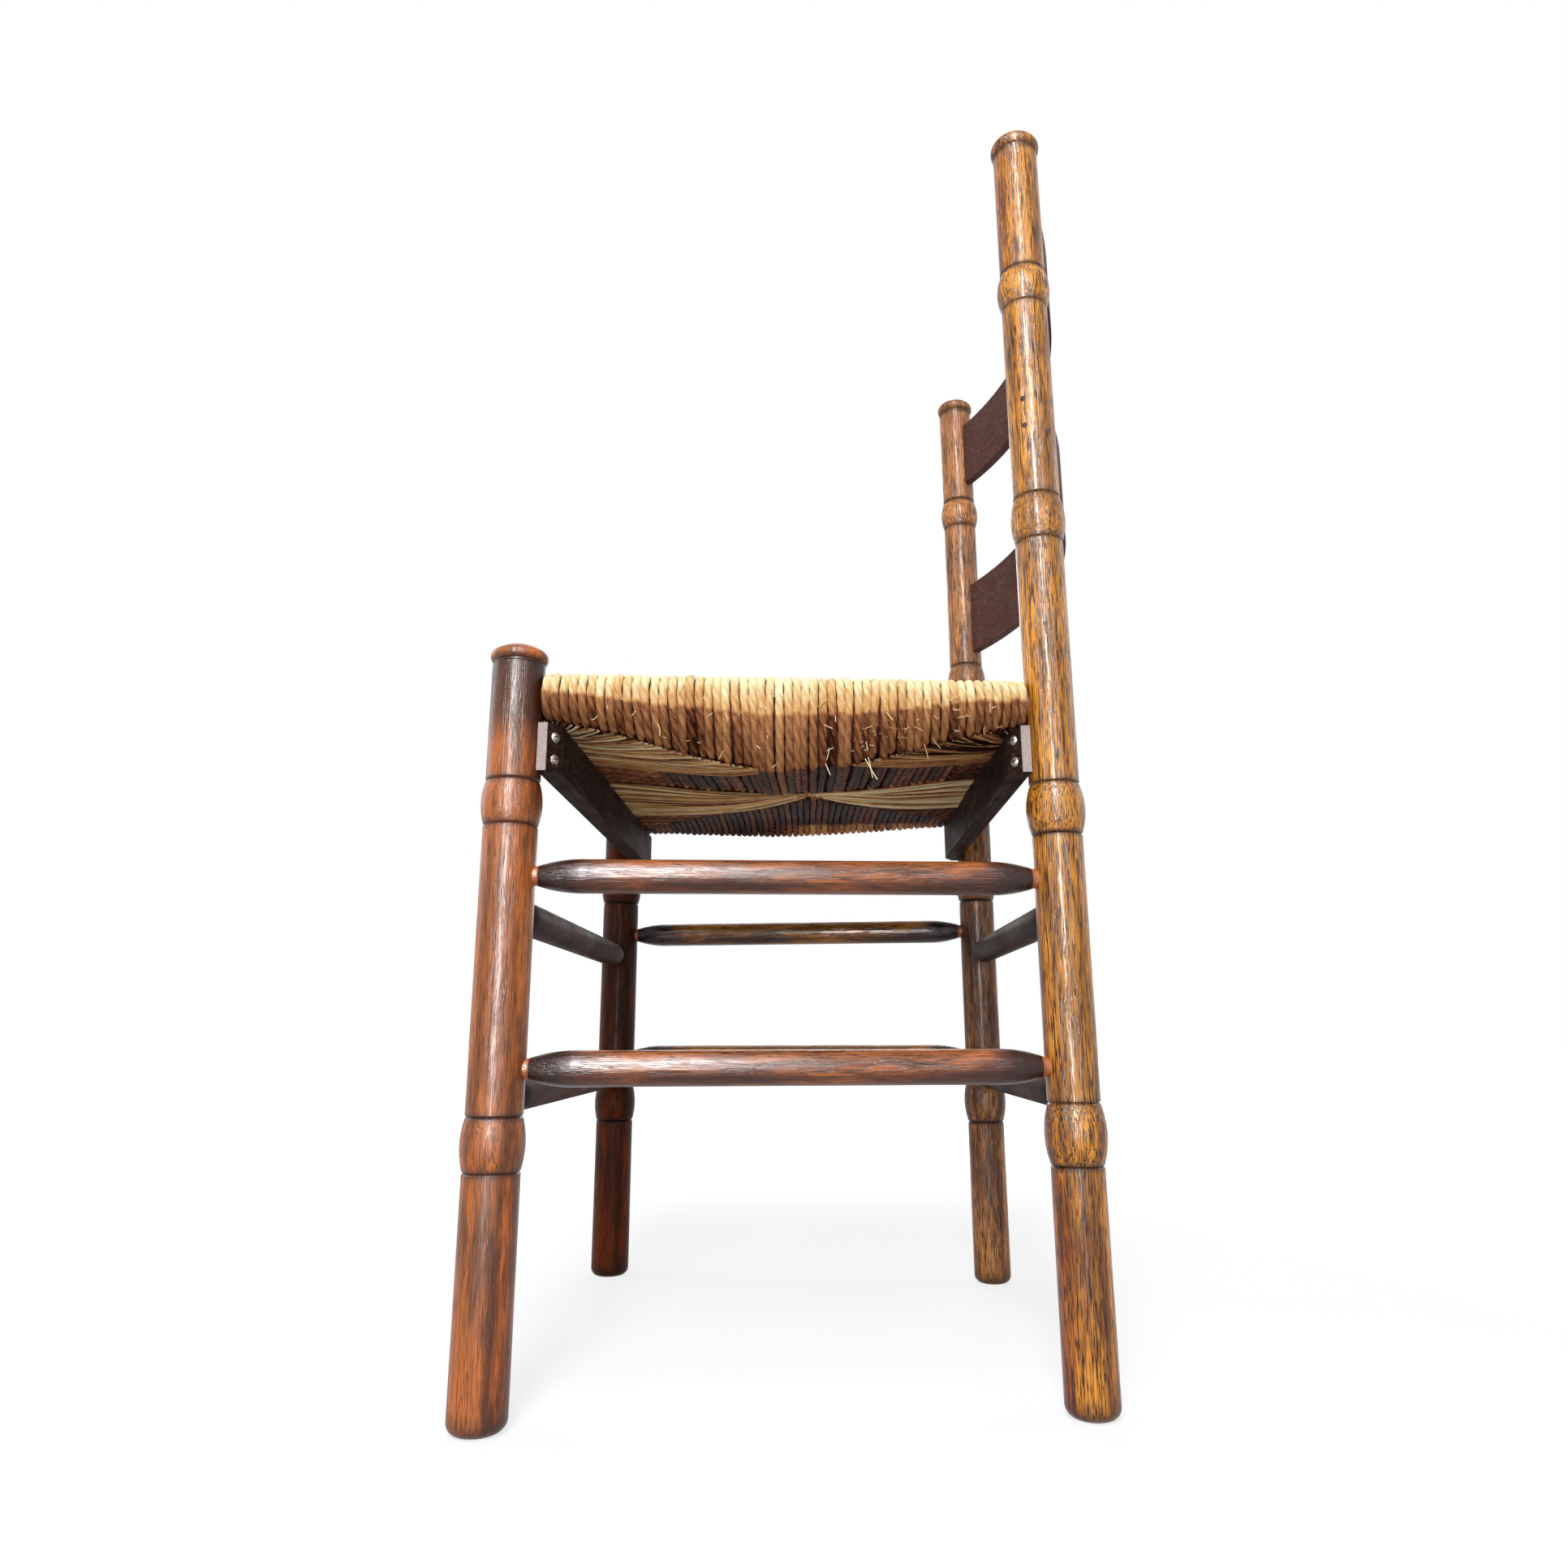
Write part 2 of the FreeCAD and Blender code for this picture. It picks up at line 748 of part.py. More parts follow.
os.makedirs("parts", exist_ok=True)
for name, piece in sorted(subparts.items()):
    piece.Shape.exportStep(os.path.join("parts", f"{name}.step"))
    print(f"{name}: {piece.Shape.Volume:.0f} mm3")
print(f"{len(subparts)} sub-parts")
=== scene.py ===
"""Finishes for a ladderback chair, its wound rush seat and a plain studio.

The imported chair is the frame: its posts, rungs, slats, boards, screws and nails stay
as they are and take their finishes here. The rush seat and its stuffing are built anew,
cord by cord, in the space that the chair keeps for them.
"""

import math
from functools import partial

import bpy
import numpy as np
from mathutils import Matrix, Vector


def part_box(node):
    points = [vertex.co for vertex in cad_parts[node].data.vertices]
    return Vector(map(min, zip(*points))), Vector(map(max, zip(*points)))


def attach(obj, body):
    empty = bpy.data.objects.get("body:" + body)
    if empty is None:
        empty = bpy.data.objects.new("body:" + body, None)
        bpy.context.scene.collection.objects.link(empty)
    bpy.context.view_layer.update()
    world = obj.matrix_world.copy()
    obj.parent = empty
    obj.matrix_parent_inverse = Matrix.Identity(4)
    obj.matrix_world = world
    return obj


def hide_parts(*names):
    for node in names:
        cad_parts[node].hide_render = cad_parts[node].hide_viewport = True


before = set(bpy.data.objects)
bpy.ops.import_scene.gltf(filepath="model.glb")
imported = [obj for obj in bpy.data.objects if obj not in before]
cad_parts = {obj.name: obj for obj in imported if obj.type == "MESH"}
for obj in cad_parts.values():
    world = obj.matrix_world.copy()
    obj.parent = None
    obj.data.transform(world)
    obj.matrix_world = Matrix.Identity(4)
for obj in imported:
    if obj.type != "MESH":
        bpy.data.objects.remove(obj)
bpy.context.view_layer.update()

bl_info = {
    "name": "Ladderback Chair Finishes",
    "version": (1, 0, 0),
    "blender": (4, 5, 0),
    "location": "View3D > Sidebar > Chair",
    "description": "Finishes a turned oak chair, winds its rush seat and sets up a studio",
    "category": "Object",
}

# The frame's places, in metres
SIDES = {"left": 1.0, "right": -1.0}
BODY = "root"


def middle(node):
    """The middle of a node's box."""
    low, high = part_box(node)
    return (low + high) / 2


def half_width(node):
    """Half of a node's extent along X."""
    low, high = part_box(node)
    return (high.x - low.x) / 2


FRONT_POST = middle("left_front_post")
BACK_POST = middle("left_back_post")
FRONT_X = FRONT_POST.x
BACK_X = BACK_POST.x
FRONT_Y = FRONT_POST.y
BACK_Y = BACK_POST.y
SIDE_RAIL_Z = middle("left_seat_rail").z
CROSS_RAIL_Z = middle("front_seat_rail").z
FRONT_POST_RADIUS = 0.0174
BACK_POST_RADIUS = 0.01645
WRAP_RADIUS = 0.0157
MM = 0.001

# Ring turnings as (base, length) up each post
BACK_RINGS = ((0.1403, 0.0375), (0.3472, 0.0342), (0.5561, 0.0339), (0.7453, 0.0302))
FRONT_RINGS = ((0.1400, 0.0320), (0.3503, 0.0293))
BACK_CAP_LINE = 0.8811
FRONT_CAP_LINE = 0.4591


# Colours and nodes

def linear(code):
    """An sRGB hex code as linear red, green, blue and alpha."""
    channels = [int(code[i : i + 2], 16) / 255 for i in (1, 3, 5)]
    return (
        *[c / 12.92 if c <= 0.04045 else ((c + 0.055) / 1.055) ** 2.4 for c in channels],
        1.0,
    )


def grey(value):
    """A grey of one linear value."""
    return (value, value, value, 1.0)


WHITE = grey(1.0)

# Settings that many nodes share, and the sockets of a Mix node that mixes colours
ABSOLUTE = {"operation": "ABSOLUTE"}
ADD = {"operation": "ADD"}
COSINE = {"operation": "COSINE"}
DIVIDE = {"operation": "DIVIDE"}
MAXIMUM = {"operation": "MAXIMUM"}
MULTIPLY = {"operation": "MULTIPLY"}
MULTIPLY_ADD = {"operation": "MULTIPLY_ADD"}
SMOOTH = {"interpolation_type": "SMOOTHSTEP"}
BLEND = {"data_type": "RGBA", "blend_type": "MIX", "clamp_factor": True}
SHARE, FIRST, SECOND = 0, 6, 7


def fill(tree, node, inputs):
    """Set or link a node's sockets, in order from a tuple or by name or number from a dict.

    A node given as a value stands for its first output in use.
    """
    if not isinstance(inputs, dict):
        inputs = dict(enumerate(inputs))
    for key, value in inputs.items():
        if isinstance(value, bpy.types.Node):
            value = next(socket for socket in value.outputs if socket.enabled)
        if isinstance(value, bpy.types.NodeSocket):
            tree.links.new(value, node.inputs[key])
        else:
            node.inputs[key].default_value = value


def add_node(tree, kind, settings=None, inputs=(), stops=None):
    """Add a node with its settings, its sockets' values or links, and its ramp's stops."""
    node = tree.nodes.new(kind)
    for name, value in (settings or {}).items():
        setattr(node, name, value)
    fill(tree, node, inputs)
    if stops:
        elements = node.color_ramp.elements
        while len(elements) < len(stops):
            elements.new(0.5)
        for element, (position, colour) in zip(elements, stops):
            element.position = position
        for element, (position, colour) in zip(elements, stops):
            element.color = colour
    return node


def new_material(name):
    """An empty material with its output and shader, and the node tree."""
    material = bpy.data.materials.new(name)
    material.use_nodes = True
    tree = material.node_tree
    tree.nodes.clear()
    shader = add_node(tree, "ShaderNodeBsdfPrincipled")
    add_node(tree, "ShaderNodeOutputMaterial", inputs={"Surface": shader})
    return material, tree, shader


def assign(node_name, material):
    """Give a CAD node its finish."""
    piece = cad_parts[node_name]
    piece.data.materials.clear()
    piece.data.materials.append(material)


# Settings that a user would change

def colour_setting(name, code, description):
    return bpy.props.FloatVectorProperty(
        name=name,
        description=description,
        subtype="COLOR",
        size=4,
        min=0.0,
        max=1.0,
        default=linear(code),
    )


def length_setting(name, value, description):
    return bpy.props.FloatProperty(
        name=name, description=description, default=value, min=0.0, unit="LENGTH"
    )


class CHAIR_PG_wood(bpy.types.PropertyGroup):
    """Stains of the turned and flat wooden pieces."""

    # Face colours lie on the worn sides, and on the rungs also on the upper sides as painted light;
    # flank colours lie on the other sides, and on the rungs and the right posts they carry painted shade
    honey: colour_setting("Honey oak", "#d48a34", "Worn parts of the left back post, and worn and painted-lit upper sides of the right rungs")
    ginger: colour_setting("Ginger oak", "#93441a", "Redder parts of that post")
    amber: colour_setting("Amber oak", "#b0622c", "Worn parts of the left front post")
    russet: colour_setting("Russet oak", "#602a12", "Darker parts of the left front post and left rungs")
    chestnut: colour_setting("Chestnut oak", "#a5633c", "Worn parts and painted-lit upper sides of the left rungs")
    rose: colour_setting("Rose oak", "#bb8159", "Upper part of the right back post")
    umber: colour_setting("Umber oak", "#3a1a0e", "Dark parts of the right back post and the rungs")
    dark_shaded_oak: colour_setting("Dark shaded oak", "#140c09", "Darkest parts of the cross rungs and right front post")
    grime: colour_setting("Grime", "#1d100d", "Old dirt in grooves and on rung ends")
    pore: colour_setting("Open grain", "#2b1408", "Stain that has sunk into the grain")
    slat: colour_setting("Slat", "#4c2d27", "Dull dark stain of the slats")
    board: colour_setting("Board", "#22110c", "Dull dark stain of the boards")
    saw_cut: colour_setting("Saw cut", "#94837b", "Dry ends of the boards")
    bare: colour_setting("Bare wood", "#a9603c", "Unstained tenons and rails")
    ring_spacing: length_setting("Ring spacing", 4.2 * MM, "Growth ring to growth ring")
    grain_spacing: length_setting("Grain spacing", 1.25 * MM, "Dark grain line to line")
    pore_width: length_setting("Pore width", 0.7 * MM, "Width of an open pore")


class CHAIR_PG_rush(bpy.types.PropertyGroup):
    """Sizes and colours of the wound seat."""

    pitch: length_setting("Cord pitch", 5.8 * MM, "From one cord to the next on a rail")
    diameter: length_setting("Cord diameter", 5.7 * MM, "Across a twisted cord")
    lay: length_setting("Lay length", 34.0 * MM, "Length of one full turn of the twist")
    groove: bpy.props.FloatProperty(
        name="Twist groove",
        description="Depth of the grooves between the twisted leaves, as a share of the radius",
        default=0.07,
        min=0.0,
        max=0.4,
    )
    left_belly: length_setting("Left belly", 31.6 * MM, "How far the cords hang at the left")
    right_belly: length_setting("Right belly", 6.0 * MM, "How far the cords hang at the right")
    leaf_width: length_setting("Leaf width", 1.5 * MM, "A single leaf under the seat")
    fray_width: length_setting("Fray width", 0.65 * MM, "A torn fibre")
    straw: colour_setting("Straw", "#efe3b6", "Sun-bleached rush on top")
    gold: colour_setting("Gold", "#cfa063", "Rush on the seat's outer faces")
    tan: colour_setting("Tan", "#b07a4e", "Rush low on the outer faces and underneath")
    peat: colour_setting("Peat", "#5a2a19", "Rush that has darkened underneath")
    seed: bpy.props.IntProperty(
        name="Seed", description="Start of the rush's unevenness", default=7, min=0
    )


class CHAIR_PG_studio(bpy.types.PropertyGroup):
    """Light and floor."""

    key: bpy.props.FloatProperty(
        name="Key light", description="Power of the main soft box", default=66.0, unit="POWER"
    )
    ambient: bpy.props.FloatProperty(
        name="Ambient", description="Strength of the even light all round", default=0.34
    )
    ground: colour_setting("Ground", "#cccccc", "The pale floor")


# Wood

# A Wave texture of scale 1 repeats every 0.314 m, and a cloud of scale 1 is crossed by
# one of its level lines about every 0.75 m
WAVE_LENGTH = 0.314
LINE_LENGTH = 0.75
PITH_OFFSET = (0.021, 0.013, 0.0)


def grain_space(tree, centre, turn):
    """Object coordinates with the piece's own axis as Z."""
    coordinates = add_node(tree, "ShaderNodeTexCoord")
    return add_node(
        tree, "ShaderNodeMapping", {"vector_type": "TEXTURE"},
        {"Vector": coordinates.outputs["Object"], "Location": centre, "Rotation": turn},
    )


def drawn_cloud(tree, grain, draw, scale, detail=3.0):
    """Soft random patches along the grain, from 0 to 1 with most near a half.

    The scale is the number of patches in a metre across the grain. Along the grain they
    are drawn out, so that draw times as many fit there.
    """
    space = add_node(tree, "ShaderNodeVectorMath", MULTIPLY, (grain, (1.0, 1.0, draw)))
    return add_node(
        tree, "ShaderNodeTexNoise",
        inputs={"Vector": space, "Scale": scale, "Detail": detail, "Roughness": 0.6},
    )


def profile(tree, place, span, stops):
    """A value that changes along a piece, with stops as (metres, value) within its span."""
    share = add_node(tree, "ShaderNodeMath", DIVIDE, (place, span))
    return add_node(
        tree, "ShaderNodeValToRGB", inputs=(share,),
        stops=[(metres / span, grey(value)) for metres, value in stops],
    )


def oak_material(name, wood, centre, turn, face, flank, span, wear_and_shade, grime, bare=None,
                 facing=0.0, polish=0.3, shine=0.5, figure=1.0):
    """Varnished oak, turned along its grain: wavy dark grain lines and open pores.

    Oak's open grain takes up the stain and shows as fine dark lines and dashes. The
    varnish is worn thin where hands and feet rub, so colour and gloss come and go.
    Wear and grime are stops along the piece, and the wear stops also carry painted shade
    under the seat on the right posts; facing is the angle of the side that takes the face
    colour, which on the rungs is painted light from above as well as wear, and figure is
    how strongly the grain shows.
    """
    material, tree, shader = new_material(name)
    add = partial(add_node, tree)
    grain = grain_space(tree, centre, turn)
    place = add("ShaderNodeSeparateXYZ", inputs=(grain,))
    along = add("ShaderNodeMath", ABSOLUTE, (place.outputs["Z"],))
    # Streaks about 10 mm wide and 66 mm long, and blotches of 24 mm by 60 mm
    tone = drawn_cloud(tree, grain, 0.16, 95.0)
    blotches = drawn_cloud(tree, grain, 0.4, 42.0, 4.0)

    # How worn and how lit the ground is painted: by the side that it faces, which on the rungs is
    # painted light from above, by the place along the piece, which on the right posts is painted shade
    # under the seat, and by chance
    flat = add("ShaderNodeVectorMath", MULTIPLY, (grain, (1.0, 1.0, 0.0)))
    across = add("ShaderNodeVectorMath", {"operation": "NORMALIZE"}, (flat,))
    direction = (math.cos(facing), math.sin(facing), 0.0)
    toward = add("ShaderNodeVectorMath", {"operation": "DOT_PRODUCT"}, (across, direction))
    chance = add("ShaderNodeMath", MULTIPLY_ADD, (tone, 1.6, -0.8))
    by_side = add("ShaderNodeMath", MULTIPLY_ADD, (toward.outputs["Value"], 0.55, chance))
    by_place = add("ShaderNodeMath", ADD, (by_side, profile(tree, along, span, wear_and_shade)))
    worn_and_lit = add("ShaderNodeMapRange", SMOOTH, (by_place, 0.1, 1.0))
    ground = add("ShaderNodeMix", BLEND, {SHARE: worn_and_lit, FIRST: flank, SECOND: face})

    # Streaks: lighter and deeper than the ground
    light = add(
        "ShaderNodeMix", {**BLEND, "blend_type": "SOFT_LIGHT"},
        {SHARE: 0.6, FIRST: ground, SECOND: linear("#ffe0a0")},
    )
    deep = add("ShaderNodeMix", BLEND, {SHARE: 0.5, FIRST: ground, SECOND: wood.pore})
    streaks = add("ShaderNodeMapRange", SMOOTH, (tone, 0.36, 0.64))
    colour = add("ShaderNodeMix", BLEND, {SHARE: streaks, FIRST: deep, SECOND: light})

    # Growth rings round a pith beside the piece, drawn out along the grain
    off_pith = add("ShaderNodeVectorMath", ADD, (grain, PITH_OFFSET))
    rings = add(
        "ShaderNodeTexWave",
        {"wave_type": "RINGS", "rings_direction": "Z", "wave_profile": "SIN"},
        {
            "Vector": add("ShaderNodeVectorMath", MULTIPLY, (off_pith, (1.0, 1.0, 0.05))),
            "Scale": WAVE_LENGTH / wood.ring_spacing,
            "Distortion": 4.0,
            "Detail": 2.0,
            "Detail Scale": 0.35,
        },
    )
    faint_rings = add("ShaderNodeMath", MULTIPLY, (rings.outputs[1], 0.3))

    # Grain lines: the level lines of a cloud that is drawn out along the piece
    waves = drawn_cloud(tree, grain, 0.03, LINE_LENGTH / wood.grain_spacing, 1.5)
    off_level = add("ShaderNodeMath", {"operation": "SUBTRACT"}, (waves, 0.5))
    off_line = add("ShaderNodeMath", ABSOLUTE, (off_level,))
    line = add("ShaderNodeMapRange", SMOOTH, (off_line, 0.008, 0.05, 1.0, 0.0))
    strength = add("ShaderNodeMapRange", SMOOTH, (blotches, 0.34, 0.56, 0.6 * figure, figure))
    lines = add("ShaderNodeMath", MULTIPLY, (line, strength))
    fine = drawn_cloud(tree, grain, 0.045, 1.0 / wood.pore_width, 2.0)
    pores = add("ShaderNodeMapRange", SMOOTH, (fine, 0.53, 0.58, 0.0, 0.9 * figure))
    stains = add("ShaderNodeMapRange", SMOOTH, (blotches, 0.62, 0.76, 0.0, 0.4))

    uneven = add("ShaderNodeMath", ADD, (tone, 0.45))
    dirt = add("ShaderNodeMath", MULTIPLY, (profile(tree, along, span, grime), uneven))
    layers = [
        (faint_rings, deep), (lines, wood.pore), (pores, wood.pore), (stains, wood.pore),
        (dirt, wood.grime),
    ]
    if bare:
        past_varnish = add("ShaderNodeMath", {"operation": "GREATER_THAN"}, (along, bare))
        layers.append((past_varnish, wood.bare))
    for share, stain in layers:
        colour = add("ShaderNodeMix", BLEND, {SHARE: share, FIRST: colour, SECOND: stain})

    gloss = add(
        "ShaderNodeMapRange", SMOOTH, (blotches, 0.3, 0.75, polish - 0.03, polish + 0.12)
    )
    swell = add("ShaderNodeMath", MULTIPLY, (blotches, 2.4))
    relief = add("ShaderNodeMath", MULTIPLY_ADD, (lines, -0.5, swell))
    relief = add("ShaderNodeMath", MULTIPLY_ADD, (pores, -0.5, relief))
    bump = add(
        "ShaderNodeBump", inputs={"Strength": 0.3, "Distance": 0.9 * MM, "Height": relief}
    )
    fill(tree, shader, {
        "Base Color": colour, "Roughness": gloss, "Specular IOR Level": shine, "Normal": bump,
    })
    return material


def bar_place(start, end, height):
    """A bar's middle between two post axes, the turn that lays Z along it, and its length."""
    run = Vector(end) - Vector(start)
    centre = (Vector(start) + Vector(end)) / 2
    turn = (0.0, math.pi / 2, math.atan2(run.y, run.x))
    return (centre.x, centre.y, height), turn, run.length


POST_AXES = {
    "left_front": (FRONT_X, FRONT_Y),
    "right_front": (-FRONT_X, FRONT_Y),
    "left_back": (BACK_X, BACK_Y),
    "right_back": (-BACK_X, BACK_Y),
}
BAYS = {
    "left": ("left_front", "left_back"),
    "right": ("right_front", "right_back"),
    "front": ("right_front", "left_front"),
    "back": ("right_back", "left_back"),
}


def groove_stops(rings, cap_line, foot=0.8):
    """Grime at the foot and in every groove, as stops up the post."""
    lines = [line for base, length in rings for line in (base, base + length)] + [cap_line]
    stops = [(0.0, foot), (0.014, 0.0)]
    for line in lines:
        stops += [(line - 0.0035, 0.0), (line, 1.0), (line + 0.0035, 0.0)]
    return stops


class CHAIR_OT_finish_posts(bpy.types.Operator):
    """Varnish the four turned posts"""

    bl_idname = "chair.finish_posts"
    bl_label = "Finish posts"

    def execute(self, context):
        wood = context.scene.chair_wood
        back = groove_stops(BACK_RINGS, BACK_CAP_LINE)
        front = groove_stops(FRONT_RINGS, FRONT_CAP_LINE)
        # Under the seat's edge the left front post is dark with old polish
        smoky = [stop for stop in front if stop[0] < 0.39]
        smoky += [(0.402, 0.1), (0.422, 0.75), (0.455, 0.85), (FRONT_CAP_LINE, 1.0), (0.464, 0.0)]
        finishes = {
            "left_back": (
                wood.honey, wood.ginger, back, 0.3, 0.2, 0.3, 1.0,
                [(0.0, 0.1), (0.13, 0.3), (0.17, 0.55), (0.3, 0.6), (0.4, 0.75), (0.58, 0.9),
                 (0.74, 0.95), (0.77, 0.35), (0.89, 0.45)],
            ),
            "left_front": (
                wood.amber, wood.russet, smoky, -0.5, 0.28, 0.34, 0.6,
                [(0.0, 0.35), (0.12, 0.45), (0.18, 0.85), (0.34, 0.9), (0.39, 0.6),
                 (0.456, 0.2), (0.464, 1.2)],
            ),
            # Below the seat the right back post turns to umber: painted shadow of the seat
            "right_back": (
                wood.rose, wood.umber, back, 0.0, 0.22, 0.15, 0.9,
                [(0.0, 0.5), (0.1, 0.4), (0.2, 0.15), (0.42, 0.1), (0.5, 0.85), (0.89, 0.95)],
            ),
            # Up towards the seat the right front post turns to the darkest oak: painted shade under the
            # seat
            "right_front": (
                wood.russet, wood.dark_shaded_oak, front, 0.0, 0.25, 0.06, 0.8,
                [(0.0, 0.5), (0.12, 0.35), (0.3, 0.0), (0.45, 0.0)],
            ),
        }
        for post, (face, flank, grime, facing, polish, shine, figure, wear_and_shade) in finishes.items():
            x, y = POST_AXES[post]
            material = oak_material(
                f"varnished_oak_{post}_post", wood, (x, y, 0.0), (0.0, 0.0, 0.0), face, flank,
                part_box(f"{post}_post")[1].z, wear_and_shade, grime,
                facing=facing, polish=polish, shine=shine, figure=figure,
            )
            assign(f"{post}_post", material)
        return {"FINISHED"}


class CHAIR_OT_finish_rungs(bpy.types.Operator):
    """Varnish the eight rungs and leave the hidden seat rails bare"""

    bl_idname = "chair.finish_rungs"
    bl_label = "Finish rungs and rails"

    def execute(self, context):
        wood = context.scene.chair_wood
        # Each rung's face colour lies on its upper side and its flank colour beneath: wear, with painted
        # light from above and painted shade below
        finishes = {
            "left": (wood.chestnut, wood.russet, 0.4, 0.22),
            "right": (wood.honey, wood.umber, 0.3, 0.16),
            "front": (wood.umber, wood.dark_shaded_oak, 0.03, 0.5),
            "back": (wood.umber, wood.dark_shaded_oak, 0.03, 0.5),
        }
        for bay, (first, second) in BAYS.items():
            start = POST_AXES[first]
            end = POST_AXES[second]
            face, flank, shine, polish = finishes[bay]
            for level in ("lower", "upper"):
                node = f"{bay}_{level}_rung"
                centre, turn, length = bar_place(start, end, middle(node).z)
                shoulder = length / 2 - FRONT_POST_RADIUS - 2.3 * MM
                material = oak_material(
                    f"varnished_oak_{node}", wood, centre, turn, face, flank, length / 2,
                    [(0.0, 0.9), (shoulder - 0.05, 0.8), (shoulder - 0.02, 0.0)],
                    [(0.0, 0.0), (shoulder - 0.034, 0.0), (shoulder - 0.018, 0.85)],
                    bare=shoulder, facing=math.pi * 0.85, polish=polish, shine=shine, figure=0.75,
                )
                assign(node, material)
            node = f"{bay}_seat_rail"
            centre, turn, length = bar_place(start, end, middle(node).z)
            material = oak_material(
                f"bare_wood_{node}", wood, centre, turn, wood.bare, wood.bare, length / 2,
                [(0.0, 0.5), (length / 4, 0.5)], [(0.0, 0.0), (length / 4, 0.0)], polish=0.55,
            )
            assign(node, material)
        return {"FINISHED"}


def stained_board_material(name, wood, colour, polish, shine, ends=None):
    """Ash or pine under a dark stain: dull, finely streaked, with dry saw-cut ends.

    The stain lies thinner on the hard streaks of the grain, and pale dust specks it.
    """
    material, tree, shader = new_material(name)
    add = partial(add_node, tree)
    grain = grain_space(tree, (0.0, 0.0, 0.0), (0.0, math.pi / 2, 0.0))
    # Streaks 2.4 mm wide, clouds of 29 mm and specks of 2.6 mm
    streaks = drawn_cloud(tree, grain, 0.05, 420.0)
    clouds = add(
        "ShaderNodeTexNoise",
        inputs={"Vector": grain, "Scale": 34.0, "Detail": 4.0, "Roughness": 0.6},
    )
    specks = add("ShaderNodeTexNoise", inputs={"Vector": grain, "Scale": 380.0, "Detail": 1.0})
    pale = add("ShaderNodeMix", BLEND, {SHARE: 0.06, FIRST: colour, SECOND: linear("#c9a99a")})
    dark = add("ShaderNodeMix", BLEND, {SHARE: 0.3, FIRST: colour, SECOND: linear("#130a08")})
    thin = add("ShaderNodeMapRange", SMOOTH, (streaks, 0.3, 0.72))
    even = add("ShaderNodeMapRange", SMOOTH, (clouds, 0.4, 0.7, 0.0, 0.55))
    dust = add("ShaderNodeMapRange", SMOOTH, (specks, 0.68, 0.76, 0.0, 0.35))
    layers = [(thin, pale), (even, colour), (dust, linear("#9b8680"))]
    if ends:
        place = add("ShaderNodeSeparateXYZ", inputs=(grain,))
        outward = add("ShaderNodeMath", ABSOLUTE, (place.outputs["Z"],))
        cut = add("ShaderNodeMath", {"operation": "GREATER_THAN"}, (outward, ends))
        dry = add(
            "ShaderNodeMix", BLEND,
            {SHARE: streaks, FIRST: wood.saw_cut, SECOND: linear("#bcaea8")},
        )
        layers.append((cut, dry))
    tint = dark
    for share, stain in layers:
        tint = add("ShaderNodeMix", BLEND, {SHARE: share, FIRST: tint, SECOND: stain})
    sheen = add("ShaderNodeMapRange", inputs=(clouds, 0.3, 0.7, polish - 0.06, polish + 0.12))
    bump = add(
        "ShaderNodeBump", inputs={"Strength": 0.15, "Distance": 0.4 * MM, "Height": streaks}
    )
    fill(tree, shader, {
        "Base Color": tint, "Roughness": sheen, "Specular IOR Level": shine, "Normal": bump,
    })
    return material


class CHAIR_OT_finish_slats(bpy.types.Operator):
    """Stain the two bent slats"""

    bl_idname = "chair.finish_slats"
    bl_label = "Finish slats"

    def execute(self, context):
        wood = context.scene.chair_wood
        for node in ("lower_slat", "upper_slat"):
            material = stained_board_material(f"stained_ash_{node}", wood, wood.slat, 0.6, 0.08)
            assign(node, material)
        return {"FINISHED"}


class CHAIR_OT_finish_boards(bpy.types.Operator):
    """Stain the two boards under the seat"""

    bl_idname = "chair.finish_boards"
    bl_label = "Finish boards"

    def execute(self, context):
        wood = context.scene.chair_wood
        for node in ("front_apron", "back_apron"):
            material = stained_board_material(
                f"stained_pine_{node}", wood, wood.board, 0.65, 0.02, half_width(node) - 0.6 * MM
            )
            assign(node, material)
        return {"FINISHED"}


def steel_material(name, colour, rust, polish):
    """Drawn steel that has dulled, with spots of rust and grime about 2 mm across."""
    material, tree, shader = new_material(name)
    add = partial(add_node, tree)
    coordinates = add("ShaderNodeTexCoord")
    spots = add(
        "ShaderNodeTexNoise",
        inputs={"Vector": coordinates.outputs["Object"], "Scale": 620.0, "Detail": 3.0},
    )
    share = add("ShaderNodeMapRange", SMOOTH, (spots, 0.46, 0.62, 0.0, 0.9))
    tint = add("ShaderNodeMix", BLEND, {SHARE: share, FIRST: colour, SECOND: rust})
    rough = add("ShaderNodeMapRange", inputs=(spots, 0.3, 0.7, polish, polish + 0.3))
    fill(tree, shader, {"Base Color": tint, "Metallic": 1.0, "Roughness": rough})
    return material


class CHAIR_OT_finish_fixings(bpy.types.Operator):
    """Finish the screws and the nails"""

    bl_idname = "chair.finish_fixings"
    bl_label = "Finish screws and nails"

    def execute(self, context):
        steel = steel_material("worn_steel_screw", linear("#98938a"), linear("#35241b"), 0.35)
        iron = steel_material("blackened_iron_nail", linear("#3a3230"), linear("#241511"), 0.45)
        for side in SIDES:
            for level in ("lower", "upper"):
                for row in ("front", "back"):
                    assign(f"{side}_{row}_{level}_screw", steel)
                assign(f"{side}_slat_{level}_nail", iron)
        return {"FINISHED"}


# The seat's shape, at a place (x, y)

